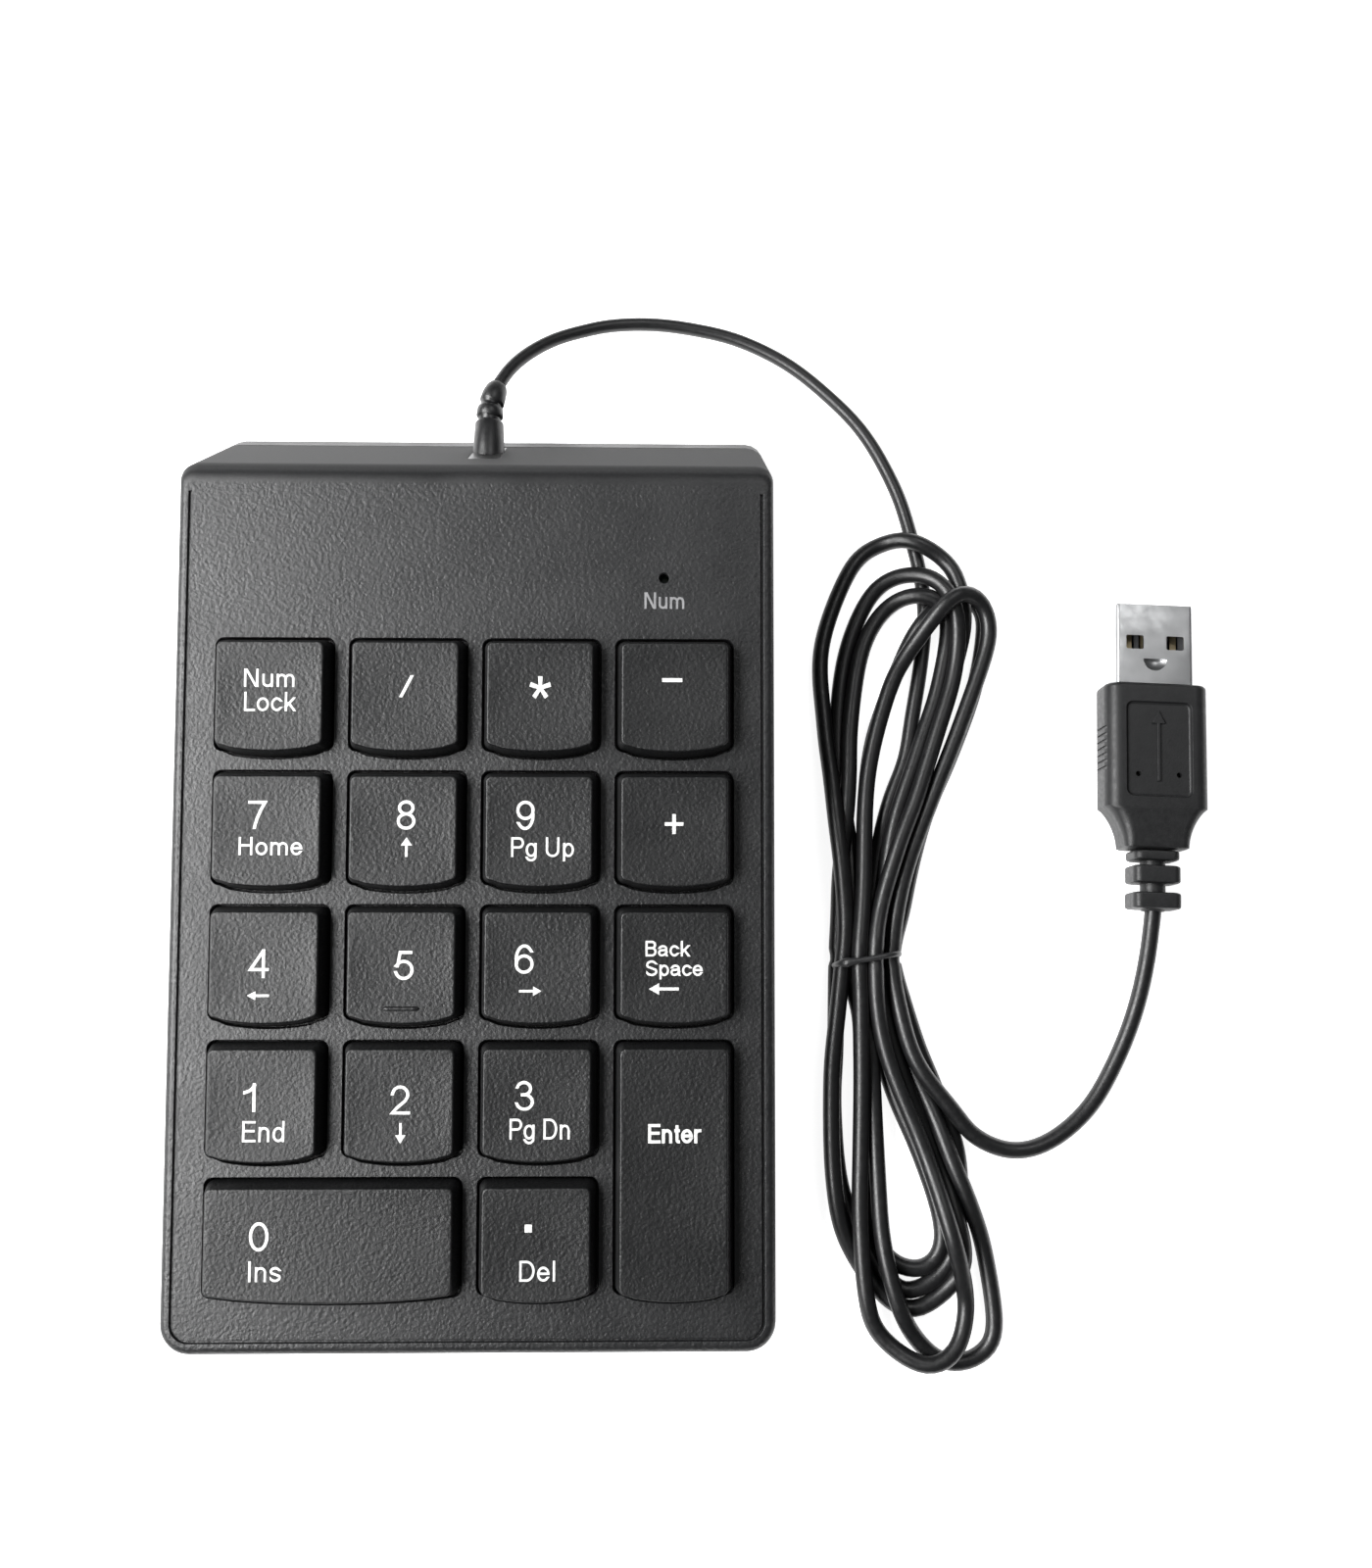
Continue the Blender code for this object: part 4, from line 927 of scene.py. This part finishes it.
INK_RAISE = 0.03
INK_DEPTH = 0.04
INK_STEP = 0.0015
LEGENDS = {
    # text or shape, centre x and y on the key, width, height, stroke
    "key_num_lock": (("Num", -0.04, 2.36, 7.06, 2.57, 0.31), ("Lock", 0.08, -1.0, 7.15, 2.71, 0.31)),
    "key_divide": (("/", 0.19, 1.25, 1.79, 3.11, 0.42),),
    "key_multiply": (("star", 0.03, 1.14, 3.07, 3.2, 0.0),),
    "key_minus": (("minus", -0.34, 2.26, 2.87, 0.55, 0.0),),
    "key_7": (("7", -1.33, 2.06, 2.58, 3.95, 0.42), ("Home", 0.6, -2.31, 8.87, 2.55, 0.31)),
    "key_8": (("8", 0.4, 2.08, 2.62, 4.13, 0.42), ("up", 0.5, -2.42, 1.59, 2.74, 0.0)),
    "key_9": (("9", -1.92, 2.06, 2.56, 4.13, 0.42), ("Pg Up", 0.53, -2.71, 8.82, 3.38, 0.31)),
    "key_plus": (("plus", -0.05, 0.88, 2.63, 2.8, 0.0),),
    "key_4": (("4", -0.68, 0.37, 2.75, 3.98, 0.42), ("left", -0.72, -4.05, 3.05, 1.2, 0.0)),
    "key_5": (("5", 0.39, 0.12, 2.64, 4.03, 0.42),),
    "key_6": (("6", -1.93, 1.01, 2.63, 4.09, 0.42), ("right", -1.05, -3.44, 3.11, 1.3, 0.0)),
    "key_backspace": (("Back", -0.94, 2.46, 6.18, 2.18, 0.3), ("Space", 0.03, -0.5, 7.92, 2.64, 0.3),
                      ("left_bold", -1.45, -3.15, 4.21, 1.59, 0.0)),
    "key_1": (("1", -1.63, 1.0, 1.7, 3.93, 0.42), ("End", 0.4, -3.64, 5.8, 2.86, 0.31)),
    "key_2": (("2", 0.18, 0.63, 2.67, 3.99, 0.42), ("down", 0.22, -3.93, 1.44, 2.81, 0.0)),
    "key_3": (("3", -1.7, 1.17, 2.57, 4.09, 0.42), ("Pg Dn", 0.42, -3.71, 8.35, 3.46, 0.31)),
    "key_enter": (("Enter", 0.11, 5.46, 7.4, 2.66, 0.42),),
    "key_0": (("0", -9.46, 1.14, 2.67, 3.95, 0.42), ("Ins", -8.56, -3.56, 4.43, 2.79, 0.31)),
    "key_decimal": (("dot", -1.05, 2.1, 1.0, 1.07, 0.0), ("Del", 0.23, -3.67, 4.92, 2.8, 0.31)),
}


def changed(line, change):
    """The line with every point changed, and still closed if it was."""
    return [point if point == "closed" else change(*point) for point in line]


def bow(cx, cy, rx, ry, start, end):
    """Points along part of an ellipse, between two angles in degrees."""
    steps = max(int(abs(end - start) / 15.0), 2)
    turns = [math.radians(start + (end - start) * k / steps) for k in range(steps + 1)]
    return [(cx + rx * math.cos(a), cy + ry * math.sin(a)) for a in turns]


def loop(cx, cy, rx, ry):
    """A closed round stroke."""
    return bow(cx, cy, rx, ry, 0, 360)[:-1] + ["closed"]


def arch(x, width, top):
    """Right-hand part of an n or m, down to the baseline."""
    return bow(x + width / 2, top - 0.24, width / 2, 0.24, 180, 0) + [(x + width, 0)]


def snake(width, height):
    """The line of an S, from its upper end."""
    upper = bow(width / 2, 0.75 * height, 0.46 * width, 0.25 * height, 28, 215)
    return upper + bow(width / 2, 0.25 * height, 0.5 * width, 0.25 * height, 35, -152)


LOW = 0.68
STEM = [(0, 0), (0, 1)]
LOW_STEM = [(0, 0), (0, LOW)]
SIX = (loop(0.5, 0.31, 0.5, 0.31), bow(0.52, 0.5, 0.52, 0.5, 195, 38))
DIGITS = {
    # centre lines in a box of one unit each way
    "0": (loop(0.5, 0.5, 0.5, 0.5),),
    "1": ([(1, 0), (1, 1)], [(0.96, 0.94), (0.75, 0.83), (0.45, 0.75), (0, 0.7)]),
    "2": (bow(0.48, 0.7, 0.46, 0.3, 172, -20) + [(0.78, 0.46), (0.3, 0.2), (0.02, 0), (1, 0)],),
    "3": (bow(0.46, 0.77, 0.42, 0.23, 165, -90) + [(0.36, 0.54)],
          [(0.36, 0.54)] + bow(0.5, 0.27, 0.5, 0.27, 90, -165)),
    "4": ([(0.76, 0), (0.76, 1)], [(0.72, 0.98), (0, 0.27), (1, 0.27)]),
    "5": ([(0.92, 1), (0.24, 1), (0.08, 0.48)], bow(0.48, 0.33, 0.52, 0.33, 146, -162)),
    "6": SIX,
    "7": ([(0, 1), (1, 1), (0.72, 0.7), (0.5, 0.38), (0.38, 0.14), (0.33, 0)],),
    "8": (loop(0.5, 0.77, 0.43, 0.23), loop(0.5, 0.27, 0.5, 0.27)),
    "9": [changed(line, lambda x, y: (1 - x, 1 - y)) for line in SIX],
    "/": ([(0, 0), (1, 1)],),
}
LETTERS = {
    # width, left and right margin, centre lines with the capital height as one unit
    "N": (0.76, 0.2, 0.2, (STEM, [(0.09, 1), (0.67, 0)], [(0.76, 0), (0.76, 1)])),
    "u": (0.53, 0.19, 0.19, ([(0, LOW)] + bow(0.265, 0.24, 0.265, 0.24, 180, 360), [(0.53, LOW), (0.53, 0)])),
    "m": (0.98, 0.19, 0.19, (LOW_STEM, arch(0, 0.49, LOW), arch(0.49, 0.49, LOW))),
    "L": (0.56, 0.2, 0.1, ([(0, 1), (0, 0), (0.56, 0)],)),
    "o": (0.63, 0.14, 0.14, (loop(0.315, LOW / 2, 0.315, LOW / 2),)),
    "c": (0.57, 0.14, 0.12, (bow(0.3, LOW / 2, 0.3, LOW / 2, 42, 318),)),
    "k": (0.54, 0.19, 0.08, (STEM, [(0.48, LOW), (0.03, 0.23)], [(0.2, 0.4), (0.52, 0)])),
    "H": (0.74, 0.2, 0.2, (STEM, [(0, 0.54), (0.74, 0.54)], [(0.74, 0), (0.74, 1)])),
    "e": (0.61, 0.14, 0.14, ([(0.0, 0.36), (0.6, 0.36)], bow(0.305, LOW / 2, 0.305, LOW / 2, 4, 322))),
    "P": (0.7, 0.2, 0.12, (STEM,
                           [(0, 1), (0.42, 1)] + bow(0.44, 0.74, 0.26, 0.26, 90, -90) + [(0, 0.48)])),
    "g": (0.58, 0.14, 0.19, (loop(0.29, LOW / 2, 0.29, LOW / 2),
                             [(0.58, LOW)] + bow(0.29, -0.02, 0.29, 0.23, 0, -158))),
    "U": (0.75, 0.2, 0.2, ([(0, 1)] + bow(0.375, 0.33, 0.375, 0.33, 180, 360) + [(0.75, 1)],)),
    "p": (0.58, 0.19, 0.14, ([(0, -0.25), (0, LOW)], loop(0.29, LOW / 2, 0.29, LOW / 2))),
    "E": (0.68, 0.2, 0.12, ([(0.66, 1), (0, 1), (0, 0), (0.68, 0)], [(0, 0.53), (0.62, 0.53)])),
    "n": (0.52, 0.19, 0.19, (LOW_STEM, arch(0, 0.52, LOW))),
    "d": (0.58, 0.14, 0.19, ([(0.58, 0), (0.58, 1)], loop(0.29, LOW / 2, 0.29, LOW / 2))),
    "D": (0.78, 0.2, 0.14, ([(0, 0), (0, 1), (0.34, 1)] + bow(0.36, 0.5, 0.42, 0.5, 90, -90) + ["closed"],)),
    "I": (0.0, 0.2, 0.2, (STEM,)),
    "l": (0.0, 0.19, 0.19, (STEM,)),
    "s": (0.54, 0.14, 0.14, (snake(0.54, LOW),)),
    "S": (0.74, 0.15, 0.14, (snake(0.74, 1.0),)),
    "t": (0.24, 0.16, 0.12, ([(0.1, 0.92)] + bow(0.2, 0.12, 0.1, 0.12, 180, 275), [(0.02, LOW), (0.2, LOW)])),
    "r": (0.28, 0.19, 0.1, (LOW_STEM, bow(0.27, LOW - 0.25, 0.27, 0.25, 180, 85))),
    "B": (0.7, 0.2, 0.14, ([(0, 0), (0, 1), (0.4, 1)] + bow(0.43, 0.77, 0.23, 0.23, 90, -90) + [(0, 0.54)],
                           [(0.4, 0.54)] + bow(0.43, 0.27, 0.27, 0.27, 90, -90) + [(0, 0)])),
    "a": (0.6, 0.14, 0.16, (bow(0.3, 0.5, 0.26, 0.18, 160, 0) + [(0.56, 0.1), (0.6, 0)],
                            [(0.55, 0.42), (0.36, 0.385)] + bow(0.21, 0.19, 0.21, 0.19, 80, 275)
                            + [(0.42, 0.05), (0.55, 0.2)])),
}
SPACE = 0.36
MARKS = ("minus", "dot", "plus", "star", "up", "down", "left", "right", "left_bold")


def stroke(points, width):
    """Flat bar of even width along a centre line. Open ends are cut level or upright."""
    closed = points[-1] == "closed"
    line = [Vector(point) for point in (points[:-1] if closed else points)]
    sections = []
    for i, point in enumerate(line):
        inward = (point - line[i - 1]).normalized() if closed or i else None
        outward = (line[(i + 1) % len(line)] - point).normalized() if closed or i < len(line) - 1 else None
        centre = point
        if inward is None or outward is None:
            along = outward or inward
            steep = abs(along.y) > abs(along.x)
            reach = 0.5 * width / max(abs(along.x), abs(along.y))
            centre = point + along * (reach if outward is None else -reach)
            half = Vector((0.0, math.copysign(reach, along.x)))
            if steep:
                half = Vector((-math.copysign(reach, along.y), 0.0))
        else:
            middle = (inward + outward).normalized()
            half = Vector((-middle.y, middle.x)) * 0.5 * width / max(middle.dot(inward), 0.45)
        left, right = centre + half, centre - half
        corners = ((left, 0.5), (right, 0.5), (right, -0.5), (left, -0.5))
        sections.append([(corner.x, corner.y, z) for corner, z in corners])
    return loft(sections, closed)


def text_lines(text):
    """Centre lines of a word, set with each letter's own margins."""
    lines = []
    at = 0.0
    for letter in text:
        if letter == " ":
            at += SPACE
            continue
        width, before, after, strokes = LETTERS[letter]
        at += before
        lines += [changed(line, lambda u, v: (u + at, v)) for line in strokes]
        at += width + after
    return lines


def text_shapes(text, x, y, width, height, thickness):
    """Strokes of a digit or word whose outline fills a box of the given centre and size."""
    lines = DIGITS[text] if text in DIGITS else text_lines(text)
    spots = [point for line in lines for point in line if point != "closed"]
    low = [min(spot[i] for spot in spots) for i in range(2)]
    size = [max(spot[i] for spot in spots) - low[i] for i in range(2)]
    scale = ((width - thickness) / size[0], (height - thickness) / size[1])
    corner = (x - 0.5 * (width - thickness), y - 0.5 * (height - thickness))

    def fitted(u, v):
        return corner[0] + (u - low[0]) * scale[0], corner[1] + (v - low[1]) * scale[1]

    return [stroke(changed(line, fitted), thickness) for line in lines]


def arrow(length, width, head, shaft):
    """Arrow pointing along +X, as one outline."""
    h = 0.5 * length
    return [(h, 0.0), (h - head, 0.5 * width), (h - head, 0.5 * shaft), (-h, 0.5 * shaft),
            (-h, -0.5 * shaft), (h - head, -0.5 * shaft), (h - head, -0.5 * width)]


def drawn_shape(kind, width, height):
    """Outlines of the marks that aren't letters."""
    w, h = width / 2, height / 2
    if kind in ("minus", "dot"):
        return [(-w, -h), (w, -h), (w, h), (-w, h)]
    if kind == "plus":
        s = 0.25
        return [(-w, -s), (-s, -s), (-s, -h), (s, -h), (s, -s), (w, -s),
                (w, s), (s, s), (s, h), (-s, h), (-s, s), (-w, s)]
    if kind == "star":
        points = []
        for k in range(5):
            a = math.radians(90 + 72 * k)
            d, n = Vector((math.cos(a), math.sin(a))), Vector((-math.sin(a), math.cos(a)))
            tip, foot = d * 1.6, d * 0.36
            arm = (foot - n * 0.26, tip - n * 0.33, tip + n * 0.33, foot + n * 0.26)
            points += [tuple(point) for point in arm]
        return points
    turn = {"right": 0, "up": 90, "left": 180, "left_bold": 180, "down": 270}[kind]
    long, wide = (width, height) if turn % 180 == 0 else (height, width)
    head, shaft = (1.45, 0.42) if kind == "left_bold" else (1.15, 0.34)
    c, s = math.cos(math.radians(turn)), math.sin(math.radians(turn))
    return [(x * c - y * s, x * s + y * c) for x, y in arrow(long, wide, head, shaft)]


def legend_shapes(entry):
    kind, x, y, width, height, _ = entry
    if kind not in MARKS:
        return text_shapes(*entry)
    points = drawn_shape(kind, width, height)
    low = [min(point[i] for point in points) for i in range(2)]
    size = [max(point[i] for point in points) - low[i] for i in range(2)]
    points = [(x + ((u - low[0]) / size[0] - 0.5) * width, y + ((v - low[1]) / size[1] - 0.5) * height)
              for u, v in points]
    return [loft([at_level(points, -0.5), at_level(points, 0.5)])]


def settled(shapes, level):
    """Ink laid on a surface. Each stroke's top lies a hair over the last one's, and its underside is sunk."""
    inked = []
    for k, (verts, faces) in enumerate(shapes):
        raised = INK_RAISE + INK_STEP * k
        spots = [Vector((x, y, level(x, y) + (raised if z > 0 else -INK_DEPTH))) for x, y, z in verts]
        inked.append((spots, faces))
    return merged(inked)


def legend(key):
    x, y, _, _ = key_cell(key)
    matrix = KEY_FRAME @ Matrix.Translation((x, y, 0.0))
    shapes = [shape for entry in LEGENDS[key[0]] for shape in legend_shapes(entry)]
    ink = make("legend_" + key[0], settled(shapes, lambda u, v: face_level(key, u, v)), INK_LOOK, matrix)
    return stand_for(ink, key[0], "keys")


def light_label():
    shapes = text_shapes("Num", *LABEL_PLACE, 5.75, 2.4, 0.32)
    ink = make("legend_indicator", settled(shapes, lambda u, v: 0.0), GREY_INK_LOOK, KEY_FRAME)
    return stand_for(ink, HOUSING, "top_cover")


# ---- silicone domes

SHEET_TOP = -6.9
SHEET_BOTTOM = -7.4
DOME_TOP = -3.9


def dome_sheet():
    plate = placed(box(-37.4, 37.4, -47.0, 47.0, SHEET_BOTTOM, SHEET_TOP), KEY_FRAME)
    sheet = make("dome_base_sheet", plate, SILICONE_LOOK)
    low, high = SHEET_BOTTOM - 0.5, SHEET_TOP + 0.5
    holes = []
    for key in KEYS:
        x, y, more_x, more_y = key_cell(key)
        holes.append(turned([(3.2, low), (3.2, high)], 32, x, y))
        if more_x or more_y:
            turn = Matrix.Translation((x, y, 0.0)) @ across_or_along(more_x)
            holes += [placed(box(s - 1.2, s + 1.2, 3.3, 6.7, low, high), turn) for s in (-7.0, 7.0)]
    combine(sheet, [placed(merged(holes), KEY_FRAME)], "DIFFERENCE")
    return stand_for(sheet, HOUSING, "domes", "dome_sheet")


def dome(key):
    """Collapsible dome under one key, drawn at rest; the real dome flattens as the key goes down."""
    x, y, _, _ = key_cell(key)
    foot_z, roof_z = SHEET_TOP - 0.02, DOME_TOP - 0.7
    outer = [(3.85, foot_z), (3.8, -6.75), (3.72, -6.5), (3.5, -5.9), (3.2, -5.0), (3.0, -4.3), (2.85, -4.0),
             (2.6, DOME_TOP), (0.6, DOME_TOP)]
    inner = [(0.6, roof_z), (2.1, roof_z), (2.5, -4.9), (2.9, -5.9), (3.2, -6.6), (3.2, foot_z)]
    shape = turned(outer + inner, 36, x, y, closed=True)
    piece = make("dome_" + key[0], placed(shape, KEY_FRAME), SILICONE_LOOK)
    stand_for(piece, HOUSING, "domes")
    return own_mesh(piece)


# ---- plug

PLUG_HALF_WIDTH = 7.95
PLUG_HALF_HEIGHT = 3.95
SHOULDER_Y = -19.3
# x of the panel's two holes and of the shell's windows, either side of the middle
HOLE_SIDES = (-3.15, 3.15)
# start, end and half width of the grip rings round the cord
GRIP_RINGS = ((-25.9, -27.4, 3.5), (-28.2, -30.9, 3.65), (-32.3, -34.8, 3.7))
NECK = (1.9, 1.9, 1.85)
PLUG_FRAME = Matrix.Translation((103.7, 28.2, PLUG_HALF_HEIGHT)) @ Matrix.Rotation(math.radians(-2.3), 4, "Z")


def rounded_section(half_x, half_z, radius, y):
    points = []
    for sx, sz, start in ((1, 1, 0), (-1, 1, 90), (-1, -1, 180), (1, -1, 270)):
        corner = quarter(sx * (half_x - radius), sz * (half_z - radius), radius, start)
        points += [(x, y, z) for x, z in corner]
    return points


def shoulder(y):
    """Half width of the overmould between its body and its neck, a hollow curve."""
    t = (SHOULDER_Y - y) / 6.0
    return PLUG_HALF_WIDTH - 2.95 * (1.0 - (1.0 - t) ** 2.1) ** 0.8 * (0.86 + 0.14 * t)


def plug_body():
    """Overmould with hollow shoulders, side ribs, a sunk panel and three grip rings round the cord."""
    sections = [(7.2, 3.2, 1.6, 0.0), (7.65, 3.65, 2.0, -0.1), (7.88, 3.88, 2.2, -0.35)]
    sections += [(PLUG_HALF_WIDTH, PLUG_HALF_HEIGHT, 2.3, y) for y in (-0.7, -3.0, SHOULDER_Y)]
    for k in range(1, 13):
        y = SHOULDER_Y - 0.5 * k
        sections.append((shoulder(y), PLUG_HALF_HEIGHT - 0.055 * k, 2.3 - 0.08 * k, y))
    sections += [(4.9, 3.2, 0.95, -25.45), (4.6, 2.95, 0.9, -25.6)]
    for start, end, half in GRIP_RINGS:
        rim, round_edge = (half - 0.35, 2.65, 1.1), (half - 0.08, 2.92, 1.2)
        sections += [(*NECK, start + 0.12), (*NECK, start + 0.06)]
        sections += [(*rim, start), (*round_edge, start - 0.14), (half, 3.0, 1.2, start - 0.35)]
        sections += [(half, 3.0, 1.2, end + 0.35), (*round_edge, end + 0.14), (*rim, end)]
        sections += [(*NECK, end - 0.06)]
    sections += [(1.7, 1.7, 1.65, -35.1)]
    shape = placed(loft([rounded_section(*section) for section in sections]), PLUG_FRAME)
    body = make("plug_overmould", shape, PLUG_LOOK, None, 40.0)
    rings = []
    for grow, z in ((-0.3, 3.4), (-0.24, 3.46), (-0.04, 3.52), (0.04, 3.85), (0.16, 3.97), (0.16, 5.0)):
        panel = outline(5.0 + grow, 7.3 + grow, -7.3 - grow, 1.0 + grow, STRAIGHT)
        rings.append(at_level([(x, y - 10.4) for x, y in panel], z))
    holes = [turned([(0.42, 2.2), (0.42, 4.5)], 20, x, -14.3) for x in HOLE_SIDES]
    notches = []
    for x0, x1 in ((-8.6, -7.7), (7.7, 8.6)):
        for k in range(7):
            y = -7.0 - 1.05 * k
            notches.append(box(x0, x1, y - 0.26, y + 0.26, -2.6, 2.6))
    cuts = [placed(cut, PLUG_FRAME) for cut in (loft(rings), merged(holes), merged(notches))]
    combine(body, cuts, "DIFFERENCE", 40.0)
    even_normals(body)
    return stand_for(body, HOUSING, "plug", "plug_body")


def plug_mark():
    """Plain raised arrow in the panel, pointing to the tip."""
    rings = []
    for inset, z in ((0.0, 3.3), (0.0, 3.62), (0.12, 3.74)):
        shape = arrow(11.0 - 2.5 * inset, 2.2 - 3.0 * inset, 1.9 - inset, 0.5 - 1.6 * inset)
        rings.append(at_level([(y, x - 9.9) for x, y in shape], z))
    mark = make("plug_arrow", placed(loft(rings), PLUG_FRAME), PLUG_LOOK)
    return stand_for(mark, HOUSING, "plug")


TAB_Y = 4.15
TAB_RADIUS = 1.9
WINDOW_Y = 6.8


def half_disc(share):
    """Half-round outline with its straight edge at the rear, shrunk towards the middle of that edge."""
    radius = TAB_RADIUS * share
    angles = [math.pi * (1.0 + k / 24) for k in range(25)]
    round_side = [(radius * math.cos(a), radius * math.sin(a)) for a in angles]
    return round_side + [(radius * x, 0.05 * share) for x in (0.6, 0.2, -0.2, -0.6)]


def plug_shell():
    rings = [rounded_section(6.0, 2.25, 0.55, y) for y in (0.3, 12.6)]
    rings += [rounded_section(5.95, 2.2, 0.52, 12.9)]
    rings += [rounded_section(5.72, 1.97, 0.33, y) for y in (12.88, 12.6, 0.3)]
    shell = make("plug_shell_sleeve", placed(loft(rings, closed=True), PLUG_FRAME), SHELL_LOOK)
    windows = []
    for x in HOLE_SIDES:
        window = [(x + px, WINDOW_Y + py) for px, py in outline(1.36, 1.1, -1.1, 0.3, STRAIGHT)]
        for z0, z1 in ((1.5, 3.0), (-3.0, -1.5)):
            windows.append(loft([at_level(window, z0), at_level(window, z1)]))
    tab_hole = [(x * 0.97, y * 0.97) for x, y in half_disc(1.0)]
    windows.append(loft([at_level([(x, y + TAB_Y) for x, y in tab_hole], z) for z in (1.5, 3.0)]))
    seam = box(-0.05, 0.05, 0.0, 13.2, -3.0, -2.08)
    combine(shell, [placed(merged(windows), PLUG_FRAME), placed(seam, PLUG_FRAME)], "DIFFERENCE")
    return stand_for(shell, HOUSING, "shell", "plug_shell")


def plug_dimple():
    """Half-round tab pressed into the shell, deepest at its straight rear edge."""
    top = []
    for share in (1.0, 0.93, 0.82, 0.68, 0.5, 0.3, 0.1, 0.02):
        sunk = 0.02 + 0.75 * (1.0 - share ** 2.2)
        top.append(at_level([(x, y + TAB_Y) for x, y in half_disc(share)], 2.25 - sunk))
    under = [[(x, y, z - 0.25) for x, y, z in ring] for ring in reversed(top)]
    tab = make("plug_shell_tab", placed(loft(under + top), PLUG_FRAME), SHELL_LOOK)
    return stand_for(tab, HOUSING, "shell")


# ---- everything together

cord_piece = cord()
tie_piece = cable_tie()
relief_piece = strain_relief()
body_piece = plug_body()
shell_pieces = [plug_mark(), plug_shell(), plug_dimple()]
on_cord = [relief_piece, tie_piece, body_piece, *shell_pieces, frame["nodes"]["plug_tongue"]]
on_cord += [frame["nodes"]["plug_contact_%d" % number] for number in range(1, 5)]
top_cover()
for key in KEYS:
    keycap(key)
    legend(key)
    dome(key)
light_label()
dome_sheet()
